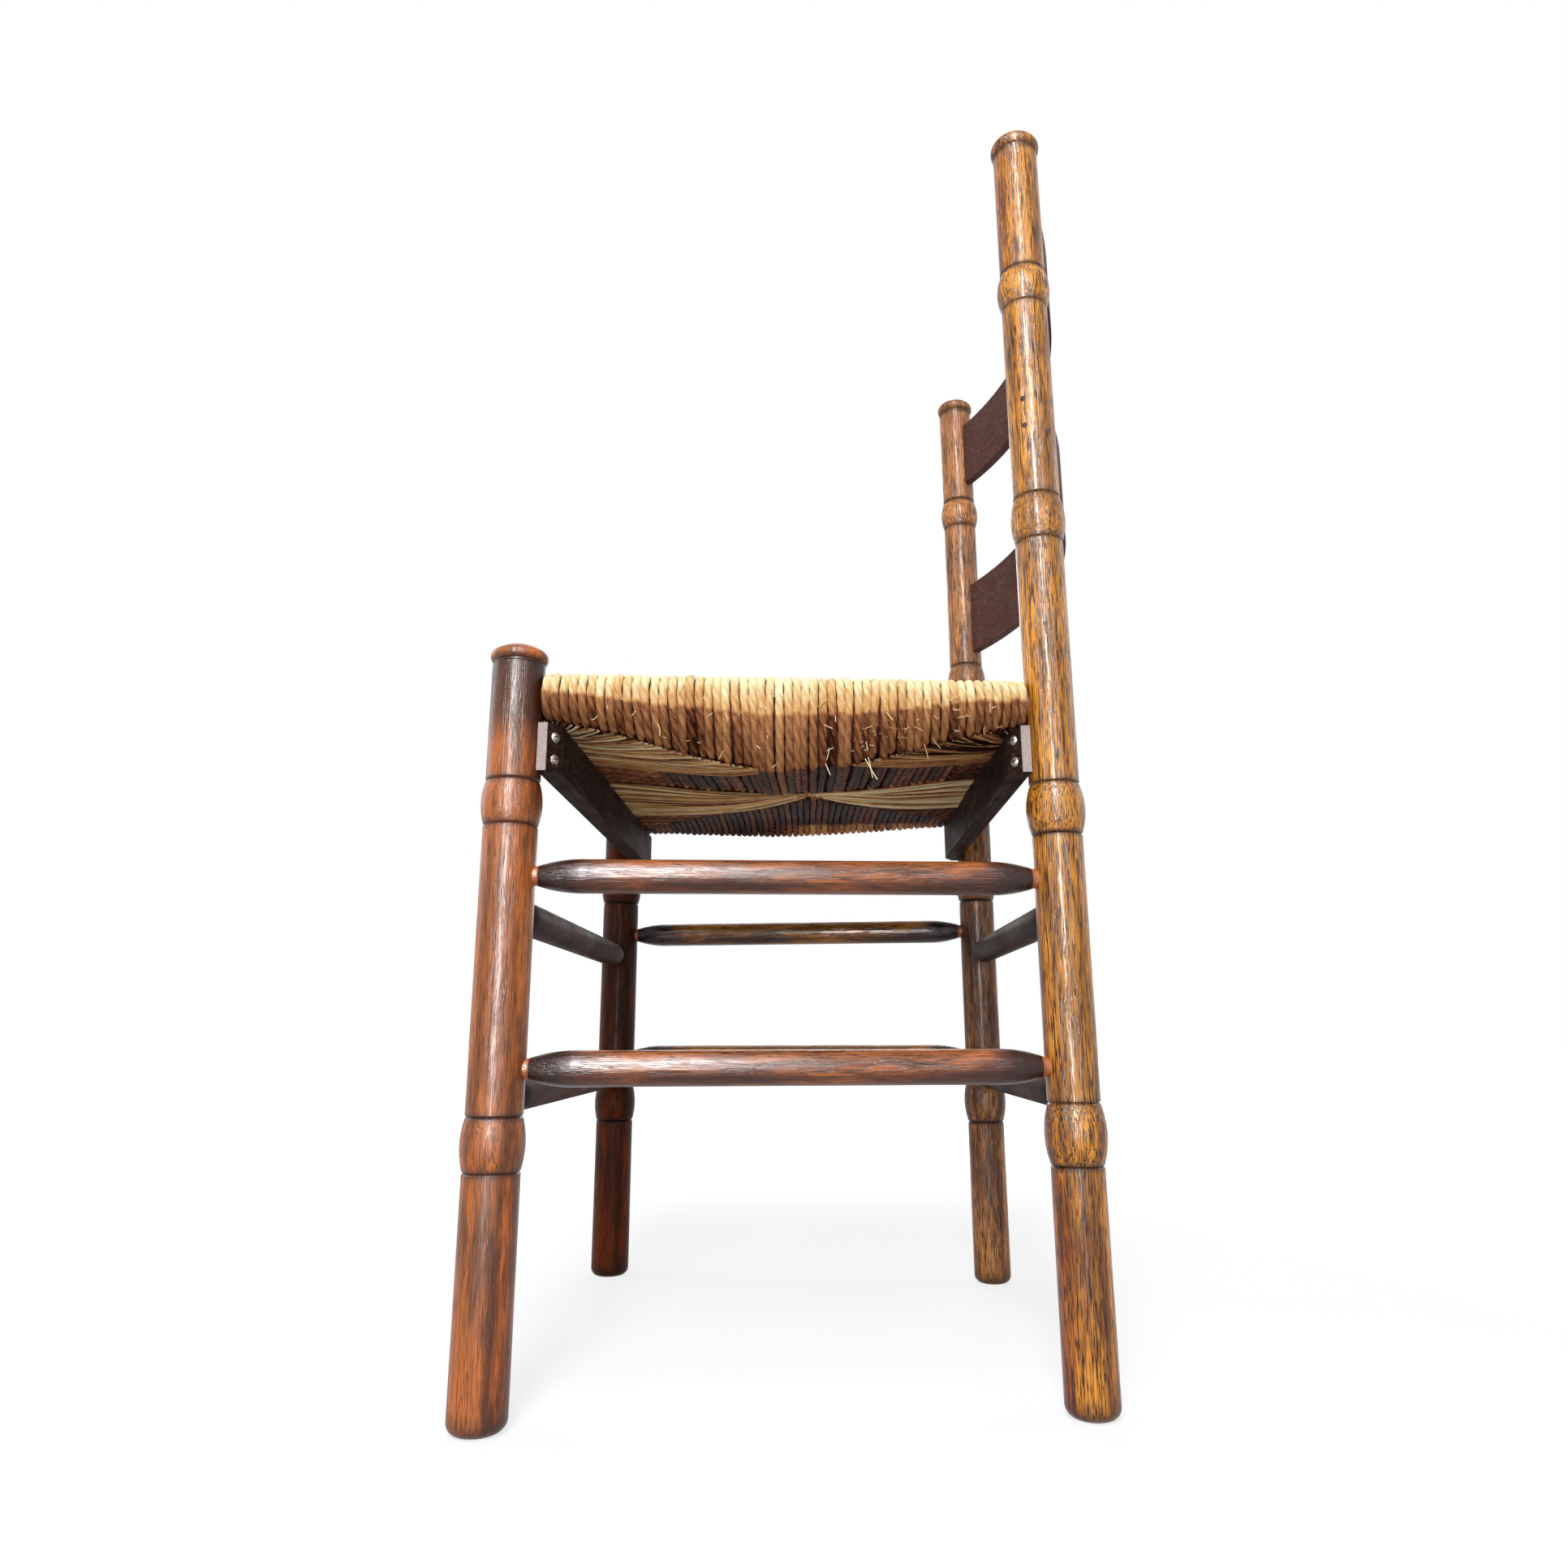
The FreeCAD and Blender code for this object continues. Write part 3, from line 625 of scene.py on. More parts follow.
EDGE_DISH = 4.0 * MM
SEAT_DISH = 8.0 * MM
PANEL_LIFT = 1.2 * MM
MIDDLE_DROP = 7.4 * MM
PANEL_ROUNDING = 2.0 * MM
BELLY_INSET = 4.0 * MM
RIGHT_HOLLOW = 8.0 * MM
HOLLOW_SHAPE = 9.48
BELLY_ROUNDING = 9.0 * MM
RAIL_TOP = SIDE_RAIL_Z + WRAP_RADIUS
RAIL_BOTTOM = SIDE_RAIL_Z - WRAP_RADIUS
LEAVES_IN_CORD = 3
CORD_STEP = 2.3 * MM
ROOM_AT_POST = 0.6 * MM

# The corners inside the posts, where the mitres start
FRONT_CORNER = (FRONT_X - FRONT_POST_RADIUS, FRONT_Y + FRONT_POST_RADIUS)
BACK_CORNER = (BACK_X - BACK_POST_RADIUS, BACK_Y - BACK_POST_RADIUS)
CORNERS = {"front": FRONT_CORNER, "back": BACK_CORNER}
MEETING_Y = (FRONT_CORNER[0] + FRONT_CORNER[1] - BACK_CORNER[0] + BACK_CORNER[1]) / 2
RAIL_Y = {"front": FRONT_Y, "back": BACK_Y}
PANELS = ("left", "right", "front", "back")


def fullness(y):
    """How full the seat is at y, from 0 at a cross rail to 1."""
    share = (y - FRONT_Y) / (BACK_Y - FRONT_Y)
    return np.sin(np.pi * np.clip(share, 0.0, 1.0)) ** 2


def rail_x(y):
    """How far from the middle a side rail runs at y."""
    return FRONT_X + (BACK_X - FRONT_X) * (y - FRONT_Y) / (BACK_Y - FRONT_Y)


def roll(y):
    """The height of a cross rail's winding above its axis at y, or nothing."""
    near = np.minimum(np.abs(y - FRONT_Y), np.abs(y - BACK_Y))
    return np.sqrt(np.maximum(WRAP_RADIUS**2 - near**2, 0.0))


def top_z(x, y):
    """The height of the seat's top, which dips between the side rails."""
    full = fullness(y)
    valley = RAIL_TOP - EDGE_DISH - (SEAT_DISH - EDGE_DISH) * full
    surface = valley + (RAIL_TOP - valley) * (x / rail_x(y)) ** 2
    return np.maximum(surface, CROSS_RAIL_Z + roll(y))


def low_z(belly, y):
    """The height to which the side cords hang at y."""
    return RAIL_BOTTOM - belly * fullness(y)


def bottom_z(x, y, belly):
    """The height of the seat's underside, which hangs lower towards the side rails."""
    full = fullness(y)
    low_x = rail_x(y) - BELLY_INSET * full
    ridge = RAIL_BOTTOM + PANEL_LIFT - MIDDLE_DROP * full
    share = np.clip(np.abs(x) / low_x, 0.0, 1.0)
    surface = ridge + (low_z(belly, y) - ridge) * share
    surface = surface - PANEL_ROUNDING * 4 * share * (1 - share)
    # The less worn right side keeps a hollow inside its edge, deepest at 3/4 of the way
    hollow = RIGHT_HOLLOW * full * HOLLOW_SHAPE * share**3 * (1 - share)
    surface = surface + np.where(np.asarray(x) < 0, hollow, 0.0)
    return np.minimum(surface, CROSS_RAIL_Z - roll(y))


def mitre_x(y):
    """How far from the middle the side cords end at y."""
    if y < MEETING_Y:
        return FRONT_CORNER[0] - (y - FRONT_CORNER[1])
    return BACK_CORNER[0] - (BACK_CORNER[1] - y)


def mitre_y(x, row):
    """Where the front or back cords end at x."""
    if row == "front":
        return min(FRONT_CORNER[1] + FRONT_CORNER[0] - abs(x), MEETING_Y)
    return max(BACK_CORNER[1] - BACK_CORNER[0] + abs(x), MEETING_Y)


# Underneath, the left panel has slipped into a straight band across the seat, from its
# inner end to the place where the panel's own mitres cross it
BAND_X = (0.022, 0.118)
BAND_Y = {"front": -0.118, "back": 0.112}

# The knot in the middle of the underside, and where the loose leaves start and end
KNOT = (BAND_X[0] - 9 * MM, MEETING_Y)
KNOT_Z = 0.4125
KNOT_WIDTH = 14 * MM
FAN_X = 0.1
LEAVES_IN_FAN = 96
LEAVES_IN_BUNDLE = 80
LEAF_POINTS = 22

# Three stray straws at the worn side, each as y, z, heading and length
STRAY_X = 0.201
STRAY_STRAWS = (
    (0.008, 0.392, (0.1, 0.35, -0.9), 9 * MM),
    (0.034, 0.395, (0.2, 0.42, -0.9), 17 * MM),
    (0.036, 0.396, (0.1, 0.2, -0.95), 15 * MM),
)


def lower_end_x(y, sign):
    """How far from the middle the side cords end underneath at y."""
    if sign < 0:
        return mitre_x(y)
    ends = (
        FRONT_CORNER,
        (BAND_X[1], BAND_Y["front"]),
        (BAND_X[0], BAND_Y["front"] + MM),
        (BAND_X[0], BAND_Y["back"] - MM),
        (BAND_X[1], BAND_Y["back"]),
        BACK_CORNER,
    )
    xs, ys = zip(*ends)
    return float(np.interp(y, ys, xs))


def lower_end_y(x, row):
    """Where the front or back cords end underneath at x."""
    if x < BAND_X[0]:
        return mitre_y(min(x, 0.0), row)
    corner = CORNERS[row]
    return float(np.interp(x, (BAND_X[1], corner[0]), (BAND_Y[row], corner[1])))


def outer_face(y, belly, inset):
    """Points (x, z) round the side rail and down the outer face, at an inset."""
    radius = WRAP_RADIUS - inset
    edge = rail_x(y)
    angles = np.linspace(math.pi / 2, 0.0, 9)
    over = np.stack([edge + radius * np.cos(angles), SIDE_RAIL_Z + radius * np.sin(angles)], 1)
    full = float(fullness(y))
    start = over[-1]
    end = np.array([edge - BELLY_INSET * full, float(low_z(belly, y)) + inset])
    along = end - start
    outward = np.array([-along[1], along[0]]) / np.linalg.norm(along)
    swell = WRAP_RADIUS * (1 - math.sqrt(0.5)) + BELLY_ROUNDING * full / 2
    t = np.linspace(0.0, 1.0, 13)[1:, None]
    face = start + along * t + outward * swell * 4 * t * (1 - t)
    return np.vstack([over, face])


def even_path(points):
    """A path through points, sampled at even steps and eased at its corners."""
    lengths = np.r_[0.0, np.cumsum(np.linalg.norm(np.diff(points, axis=0), axis=1))]
    count = max(int(round(lengths[-1] / CORD_STEP)), 6)
    places = np.linspace(0.0, lengths[-1], count + 1)
    path = np.stack([np.interp(places, lengths, points[:, i]) for i in range(3)], 1)
    for _ in range(3):
        path[1:-1] = (path[:-2] + path[1:-1] * 2 + path[2:]) / 4
    return path


def tucked(section, inward):
    """A path whose two ends turn into the stuffing, a little past where they stop."""
    tucks = np.array([(inward * 0.8, 2.0), (inward * 1.6, 7.0)]) * MM
    start = section[0] + tucks[::-1] * (1.0, -1.0)
    end = section[-1] + tucks
    return np.vstack([start, section, end])


def side_cord(y, sign, belly, inset):
    """The path of a cord over a side rail, from the top mitre to its lower end."""
    edge = float(rail_x(y))
    full = float(fullness(y))
    top_x = np.linspace(mitre_x(y), edge, 24)
    top = np.stack([top_x, top_z(top_x, y) - inset], 1)
    face = outer_face(y, belly, inset)
    low_x = np.linspace(edge - BELLY_INSET * full, lower_end_x(y, sign), 30)
    low = np.stack([low_x, bottom_z(low_x * sign, y, belly) + inset], 1)
    section = tucked(np.vstack([top, face[1:], low[1:]]), -1.0)
    points = np.stack([section[:, 0] * sign, np.full(len(section), y), section[:, 1]], 1)
    return even_path(points)


def cross_cord(x, row, bellies, inset):
    """The path of a cord over a cross rail, from the top mitre to its lower end."""
    rail_y = RAIL_Y[row]
    outward = math.copysign(1.0, rail_y)
    belly = bellies[0] if x > 0 else bellies[1]
    top_y = np.linspace(mitre_y(x, row), rail_y, 24)
    top = np.stack([top_y, top_z(x, top_y) - inset], 1)
    radius = WRAP_RADIUS - inset
    angles = np.linspace(math.pi / 2, -math.pi / 2, 15)[1:-1]
    around = np.stack(
        [rail_y + outward * radius * np.cos(angles), CROSS_RAIL_Z + radius * np.sin(angles)], 1
    )
    low_y = np.linspace(rail_y, lower_end_y(x, row), 24)
    low = np.stack([low_y, bottom_z(x, low_y, belly) + inset], 1)
    section = tucked(np.vstack([top, around, low]), -outward)
    points = np.stack([np.full(len(section), x), section[:, 0], section[:, 1]], 1)
    return even_path(points)


def wander(random, count, knots):
    """Slow unevenness along a path: values of about -1 to 1."""
    levels = random.uniform(-1, 1, knots + 1)
    return np.interp(np.linspace(0, knots, count), np.arange(knots + 1), levels)


def cord_tone(path, panel, random):
    """How light the rush is painted along a path, from 0, dark, to 1, straw: bleaching, with painted
    light and shade.

    On top and down the outer faces it darkens with the drop below the rails' top, in
    millimetres: bleached and painted as lit on top, in painted shade lower down. Underneath
    each panel has its own tones, darkened with painted shade.
    """
    x, y, z = path.T
    drop = (RAIL_TOP - z) / MM
    # Painted light on top and painted shade down the outer faces, on top of the bleaching
    tone = np.interp(drop, (0, 9, 16, 28, 50), (1.0, 0.96, 0.8, 0.62, 0.38))
    under = np.arange(len(path)) > np.argmax(np.abs(x) if panel in SIDES else np.abs(y))
    if panel in SIDES:
        edge = rail_x(y) - BELLY_INSET * fullness(y)
        turn = (edge - np.abs(x)) / MM
        if panel == "left":
            # Some of the band's inner ends are pale
            speckle = np.where(np.abs(x) < BAND_X[0] + 14 * MM, random.uniform(-0.05, 0.4), 0.0)
            # Underneath, the left panel is painted dark: its redder aged colour, with painted shade
            return np.where(under, np.interp(turn, (-1, 4), (0.32, 0.06)) + speckle, tone)
        # Towards the back, a strip inside the right edge is painted pale: painted light on the right
        # panel's underside
        share = float(np.interp(y[0], (-0.04, 0.0, 0.11, 0.13), (0, 1, 1, 0)))
        pale = random.uniform(0.2, 0.55) * share
        return np.where(under, np.interp(turn, (18, 26), (pale, 0.0)), tone)
    # Inside their winding the cross cords are painted dark with shade, and darkest in the middle
    below = 0.2 if panel == "front" else 0.1
    below = np.where(np.abs(x) < FRONT_CORNER[0] + FRONT_CORNER[1], -0.03, below)
    inside = np.abs(y - RAIL_Y[panel]) > 12 * MM
    return np.where(under & inside, below, tone)


def seat_cords(panel, rush):
    """Every cord of one panel, each as its path, girth and tone."""
    random = np.random.default_rng(rush.seed + PANELS.index(panel))
    inset = rush.diameter / 2
    bellies = (rush.left_belly, rush.right_belly)
    if panel in SIDES:
        belly = rush.left_belly if panel == "left" else rush.right_belly
        first = FRONT_CORNER[1] + ROOM_AT_POST
        last = BACK_CORNER[1] - ROOM_AT_POST
    else:
        last = CORNERS[panel][0] - ROOM_AT_POST
        first = -last
    count = int((last - first) / rush.pitch)
    gap = (last - first) / count
    cords = []
    for index in range(count):
        place = first + gap * (index + 0.5)
        if panel in SIDES:
            path = side_cord(place, SIDES[panel], belly, inset)
        else:
            path = cross_cord(place, panel, bellies, inset)
        knots = max(len(path) // 9, 2)
        sideways = wander(random, len(path), knots) * 0.5 * MM
        lift = wander(random, len(path), knots) * 0.35 * MM
        girth = 1.0 + wander(random, len(path), knots) * 0.08 + random.uniform(-0.05, 0.04)
        tone = cord_tone(path, panel, random) + random.uniform(-0.1, 0.08)
        if panel == "left":
            # The cords of the worn side hang loose, lean apart and thin towards their turn
            drop = RAIL_TOP - 16 * MM - path[:, 2]
            hang = float(fullness(place)) * np.clip(drop / (24 * MM), 0, 1)
            sideways = sideways + hang * (random.uniform(-1.7, 1.7) * MM - place * 0.035)
            lift = lift - hang * random.uniform(-1.0, 3.0) * MM
            girth = girth - hang * random.uniform(0.05, 0.3)
            tone = tone + hang * random.uniform(-0.12, 0.1)
        path[:, 1 if panel in SIDES else 0] += sideways
        path[:, 2] += lift
        cords.append((path, girth, tone))
    return cords


def arc_path(start, end, bend, rush, belly, sag):
    """A leaf on the underside, from one (x, y) to another, that sweeps sideways late."""
    share = np.linspace(0.0, 1.0, LEAF_POINTS)
    x = start[0] + (end[0] - start[0]) * share**bend
    y = start[1] + (end[1] - start[1]) * share
    z = np.array([float(bottom_z(a, b, belly)) for a, b in zip(x, y)])
    z = z - rush.leaf_width * 0.3 - sag * np.sin(np.pi * share)
    return np.stack([x, y, z], 1)


def loose_leaves(rush):
    """Leaves under the seat that have slipped out of their cords."""
    random = np.random.default_rng(rush.seed + 50)
    leaves = []

    def lay(path, tone):
        count = len(path)
        path[1:-1] += np.stack(
            [wander(random, count, 4), wander(random, count, 4), wander(random, count, 4) * 0.5], 1
        )[1:-1] * 0.7 * MM
        girth = 1.0 + wander(random, count, 4) * 0.25 + random.uniform(-0.25, 0.15)
        leaves.append((path, girth, np.full(count, tone)))

    # Fans: leaves that leave a board and sweep round into the left panel's cords
    for row, reach, middle_tone in (("front", -0.03, 0.72), ("back", 0.03, 0.34)):
        corner = CORNERS[row]
        run = corner[0] + 6 * MM - FAN_X
        for share in np.linspace(0.0, 1.0, LEAVES_IN_FAN):
            start_x = FAN_X + run * share + random.uniform(-1.5, 1.5) * MM
            end_y = reach + (corner[1] - reach) * share**1.3 + random.uniform(-6, 6) * MM
            end_x = float(rail_x(end_y)) - BELLY_INSET * float(fullness(end_y)) - 2 * MM
            bend = random.uniform(1.5, 2.3)
            path = arc_path(
                (start_x, corner[1]), (end_x, end_y), bend, rush, rush.left_belly,
                random.uniform(0.0, 2.4) * MM,
            )
            lay(path, middle_tone + random.choice((-0.5, -0.3, 0.0, 0.12, 0.24)))

    # Bundles: long leaves drawn together at the knot in the seat's middle
    bundles = (("front", -0.098, 0.026, 0.68), ("back", -0.07, 0.03, 0.72))
    for row, far, near, middle_tone in bundles:
        for share in np.linspace(0.0, 1.0, LEAVES_IN_BUNDLE):
            start = (far + (near - far) * share + random.uniform(-1, 1) * MM, CORNERS[row][1])
            end = (KNOT[0] + (share - 0.5) * KNOT_WIDTH, KNOT[1] + random.uniform(-6, 6) * MM)
            belly = rush.left_belly if start[0] > 0 else rush.right_belly
            path = arc_path(start, end, 1.9, rush, belly, random.uniform(0.5, 3.2) * MM)
            lay(path, middle_tone + random.choice((-0.5, -0.25, 0.05, 0.15, 0.25)))
    return leaves


def curl(random, start, heading, length, bend):
    """A short path that bends sideways by chance."""
    share = np.linspace(0.0, 1.0, 6)[:, None]
    sideways = random.normal(size=3)
    return np.array(start) + np.array(heading) * length * share + sideways * bend * share**2


def face_place(y, drop, rush):
    """A point on the left panel's outer face, at a drop below the rail's axis."""
    face = outer_face(y, rush.left_belly, 0.0)
    order = np.argsort(face[:, 1])
    height = SIDE_RAIL_Z - drop
    return (float(np.interp(height, face[order, 1], face[order, 0])), y, height)


def frayed_ends(rush):
    """Torn fibres, cut cord ends and stray straws on the worn side."""
    random = np.random.default_rng(rush.seed + 60)
    pieces = []

    def add(path, girth, tone):
        count = len(path)
        pieces.append((path, np.linspace(girth, girth * 0.6, count), np.full(count, tone)))

    # Fine fibres all over the worn face
    for _ in range(60):
        y = random.uniform(-0.15, 0.13)
        hang = WRAP_RADIUS + rush.left_belly * float(fullness(y))
        start = face_place(y, hang * random.uniform(0.05, 0.98), rush)
        heading = (random.uniform(0.0, 0.5), random.uniform(-0.9, 0.9), random.uniform(-1.0, 0.3))
        path = curl(random, start, heading, random.uniform(3, 8) * MM, 2.5 * MM)
        add(path, 0.7, random.uniform(0.7, 1.05))
    # Blunt ends of cut cords, close together in the middle of its lower edge
    for _ in range(26):
        y = random.uniform(0.026, 0.066)
        drop = rush.left_belly * float(fullness(y)) + random.uniform(-6, 9) * MM
        start = face_place(y, drop, rush)
        heading = (random.uniform(0.5, 0.9), random.uniform(-0.4, 0.4), random.uniform(-0.6, 0.1))
        path = curl(random, (start[0] - 3 * MM, start[1], start[2]), heading, 6 * MM, MM)
        add(path, 3.4, random.uniform(0.3, 0.95))
    for y, z, heading, length in STRAY_STRAWS:
        add(curl(random, (STRAY_X, y, z), heading, length, 0.4 * MM), 1.5, 1.1)
    # Ends that stick out of the knot
    for _ in range(16):
        x = BAND_X[0] - 8 * MM + random.uniform(-6, 6) * MM
        y = MEETING_Y + random.uniform(-9, 9) * MM
        heading = (random.uniform(-0.7, 0.9), random.uniform(-1, 1), random.uniform(-0.7, 0.0))
        path = curl(random, (x, y, KNOT_Z), heading, random.uniform(5, 12) * MM, 3 * MM)
        add(path, 1.3, random.uniform(0.3, 0.7))
    return pieces


def cord_skeleton(name, cords, random):
    """A mesh of bare edges along the cords, with their girth, tone, tint and travel."""
    mesh = bpy.data.meshes.new(name)
    points = np.vstack([path for path, _, _ in cords])
    edges = []
    start = 0
    travel = []
    tints = []
    for path, _, _ in cords:
        count = len(path)
        edges += [(start + i, start + i + 1) for i in range(count - 1)]
        steps = np.linalg.norm(np.diff(path, axis=0), axis=1)
        travel.append(np.r_[0.0, np.cumsum(steps)] + random.uniform(0.0, 0.05))
        tints.append(np.full(count, random.uniform(0.0, 1.0)))
        start += count
    mesh.from_pydata(points.tolist(), edges, [])
    values = {
        "girth": np.concatenate([girth for _, girth, _ in cords]),
        "tone": np.concatenate([tone for _, _, tone in cords]),
        "tint": np.concatenate(tints),
        "travel": np.concatenate(travel),
    }
    for attribute, numbers in values.items():
        layer = mesh.attributes.new(attribute, "FLOAT", "POINT")
        layer.data.foreach_set("value", numbers.astype(np.float32))
    skeleton = bpy.data.objects.new(name, mesh)
    bpy.context.scene.collection.objects.link(skeleton)
    return skeleton


def twist_tree(name, sides):
    """Geometry nodes that lay a twisted cord along every edge path."""
    tree = bpy.data.node_groups.new(name, "GeometryNodeTree")
    add = partial(add_node, tree)
    sockets = tree.interface
    sockets.new_socket("Geometry", in_out="INPUT", socket_type="NodeSocketGeometry")
    for socket in ("Cord Diameter", "Lay Length", "Twist Groove"):
        sockets.new_socket(socket, in_out="INPUT", socket_type="NodeSocketFloat")
    sockets.new_socket("Rush", in_out="INPUT", socket_type="NodeSocketMaterial")
    sockets.new_socket("Geometry", in_out="OUTPUT", socket_type="NodeSocketGeometry")
    given = add("NodeGroupInput").outputs
    travel, girth = (
        add("GeometryNodeInputNamedAttribute", {"data_type": "FLOAT"}, {"Name": attribute})
        for attribute in ("travel", "girth")
    )
    line = add("GeometryNodeMeshToCurve", inputs={"Mesh": given["Geometry"]})
    turns = add("ShaderNodeMath", DIVIDE, (travel, given["Lay Length"]))
    tilt = add("ShaderNodeMath", MULTIPLY, (turns, -math.tau))
    tilted = add("GeometryNodeSetCurveTilt", inputs={"Curve": line, "Tilt": tilt})
    sized = add("GeometryNodeSetCurveRadius", inputs={"Curve": tilted, "Radius": girth})

    # The cord's section: a round with three shallow grooves between its leaves
    radius = add("ShaderNodeMath", MULTIPLY, (given["Cord Diameter"], 0.5))
    circle = add(
        "GeometryNodeCurvePrimitiveCircle", inputs={"Resolution": sides, "Radius": radius}
    )
    factor = add("GeometryNodeSplineParameter").outputs["Factor"]
    marked = add(
        "GeometryNodeStoreNamedAttribute", {"data_type": "FLOAT", "domain": "POINT"},
        {"Geometry": circle, "Name": "around", "Value": factor},
    )
    angle = add("ShaderNodeMath", MULTIPLY, (factor, math.tau * LEAVES_IN_CORD))
    wave = add("ShaderNodeMath", COSINE, (angle,))
    depth = add("ShaderNodeMath", MULTIPLY, (wave, given["Twist Groove"]))
    swell = add("ShaderNodeMath", ADD, (depth, 1.0))
    place = add("GeometryNodeInputPosition")
    grooved = add(
        "ShaderNodeVectorMath", {"operation": "SCALE"}, {0: place, "Scale": swell}
    )
    section = add(
        "GeometryNodeSetPosition", inputs={"Geometry": marked, "Position": grooved}
    )

    cord = add(
        "GeometryNodeCurveToMesh",
        inputs={"Curve": sized, "Profile Curve": section, "Fill Caps": True},
    )
    smooth = add("GeometryNodeSetShadeSmooth", inputs={"Geometry": cord})
    real = add("GeometryNodeRealizeInstances", inputs={"Geometry": smooth})
    finished = add(
        "GeometryNodeSetMaterial", inputs={"Geometry": real, "Material": given["Rush"]}
    )
    add("NodeGroupOutput", inputs=(finished,))
    return tree


def socket_key(tree, name):
    """The identifier of a tree's named input."""
    return next(
        item.identifier
        for item in tree.interface.items_tree
        if item.item_type == "SOCKET" and item.in_out == "INPUT" and item.name == name
    )


def grow(skeleton, tree, values, name):
    """Run a node tree on a bare object and keep its result as a plain mesh piece."""
    modifier = skeleton.modifiers.new("Build", "NODES")
    modifier.node_group = tree
    for socket, value in values.items():
        modifier[socket_key(tree, socket)] = value
    bpy.context.view_layer.update()
    evaluated = skeleton.evaluated_get(bpy.context.evaluated_depsgraph_get())
    mesh = bpy.data.meshes.new_from_object(evaluated)
    mesh.name = name
    skeleton.modifiers.remove(modifier)
    bpy.data.objects.remove(skeleton)
    piece = bpy.data.objects.new(name, mesh)
    bpy.context.scene.collection.objects.link(piece)
    return piece


def rush_material(name, rush):
    """Dried bulrush leaves, twisted by hand: bleached straw on top, brown below, with painted light on
    top and painted shade below.

    Each cord shows fine ribs along its leaves, which run round it with the twist. The
    leaves are dull; their crowns are painted a little lighter and the grooves between them a
    little darker, as painted highlight and shade.
    """
    material, tree, shader = new_material(name)
    add = partial(add_node, tree)
    around, travel, tint, tone = (
        add("ShaderNodeAttribute", {"attribute_name": attribute}).outputs["Fac"]
        for attribute in ("around", "travel", "tint", "tone")
    )
    # The leaves' own angle round the cord: the section already turns with the twist
    angle = add("ShaderNodeMath", MULTIPLY, (around, math.tau))
    cosine = add("ShaderNodeMath", COSINE, (angle,))
    sine = add("ShaderNodeMath", {"operation": "SINE"}, (angle,))
    # About 32 ribs round a cord of 5.7 mm, each some 6 mm long before it changes
    shift = add("ShaderNodeMath", MULTIPLY, (tint, 40.0))
    leaf = add(
        "ShaderNodeCombineXYZ",
        inputs=(
            add("ShaderNodeMath", MULTIPLY, (cosine, 1.6)),
            add("ShaderNodeMath", MULTIPLY, (sine, 1.6)),
            add("ShaderNodeMath", MULTIPLY_ADD, (travel, 55.0, shift)),
        ),
    )
    ribs = add(
        "ShaderNodeTexNoise",
        inputs={"Vector": leaf, "Scale": 3.2, "Detail": 4.0, "Roughness": 0.7},
    )
    # Patches about 13 mm across
    coordinates = add("ShaderNodeTexCoord")
    patches = add(
        "ShaderNodeTexNoise",
        inputs={
            "Vector": coordinates.outputs["Object"],
            "Scale": 75.0, "Detail": 3.0, "Roughness": 0.6,
        },
    )
    # Painted highlight on the leaves' crowns and painted shade in the grooves between them
    leaves = add("ShaderNodeMath", MULTIPLY, (angle, float(LEAVES_IN_CORD)))
    crease_shading = add("ShaderNodeMath", COSINE, (leaves,))
    level = tone
    for source, spread, least in (
        (patches, 0.34, -0.17), (ribs, 1.1, -0.55), (tint, 0.2, -0.1), (crease_shading, 0.06, -0.02),
    ):
        part = add("ShaderNodeMath", MULTIPLY_ADD, (source, spread, least))
        level = add("ShaderNodeMath", ADD, (level, part))
    colours = add(
        "ShaderNodeValToRGB", inputs=(level,),
        stops=[
            (0.0, linear("#1d0d07")),
            (0.12, rush.peat),
            (0.42, rush.tan),
            (0.68, rush.gold),
            (1.0, rush.straw),
        ],
    )
    bump = add("ShaderNodeBump", inputs={"Strength": 0.55, "Distance": 0.7 * MM, "Height": ribs})
    fill(tree, shader, {
        "Base Color": colours, "Roughness": 0.6, "Specular IOR Level": 0.03, "Normal": bump,
    })
    return material


def keep_rush(piece):
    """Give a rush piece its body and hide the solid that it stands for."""
    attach(piece, BODY)
    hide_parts("rush_seat")


class CHAIR_OT_wind_rush(bpy.types.Operator):
    """Wind the seat's four panels of twisted cord"""

    bl_idname = "chair.wind_rush"
    bl_label = "Wind rush seat"

    def execute(self, context):
        rush = context.scene.chair_rush
        material = rush_material("twisted_rush", rush)
        tree = twist_tree("Twisted Cord", 12)
        values = {
            "Cord Diameter": rush.diameter,
            "Lay Length": rush.lay,
            "Twist Groove": rush.groove,
            "Rush": material,
        }
        for offset, panel in enumerate(PANELS):
            random = np.random.default_rng(rush.seed + 20 + offset)
            skeleton = cord_skeleton(f"{panel}_cord_lines", seat_cords(panel, rush), random)
            keep_rush(grow(skeleton, tree, values, f"rush_{panel}_cords"))
        return {"FINISHED"}


class CHAIR_OT_fray_rush(bpy.types.Operator):
    """Lay the slipped leaves under the seat and the frayed ends at its worn side"""

    bl_idname = "chair.fray_rush"
    bl_label = "Fray rush seat"

    def execute(self, context):
        rush = context.scene.chair_rush
        material = rush_material("loose_rush_leaf", rush)
        tree = twist_tree("Single Leaf", 6)
        values = {"Lay Length": rush.lay * 4, "Twist Groove": 0.0, "Rush": material}
        random = np.random.default_rng(rush.seed + 30)
        leaves = cord_skeleton("leaf_lines", loose_leaves(rush), random)
        values["Cord Diameter"] = rush.leaf_width
        keep_rush(grow(leaves, tree, values, "rush_loose_leaves"))
        frays = cord_skeleton("fray_lines", frayed_ends(rush), random)
        values["Cord Diameter"] = rush.fray_width
        keep_rush(grow(frays, tree, values, "rush_frayed_ends"))
        return {"FINISHED"}


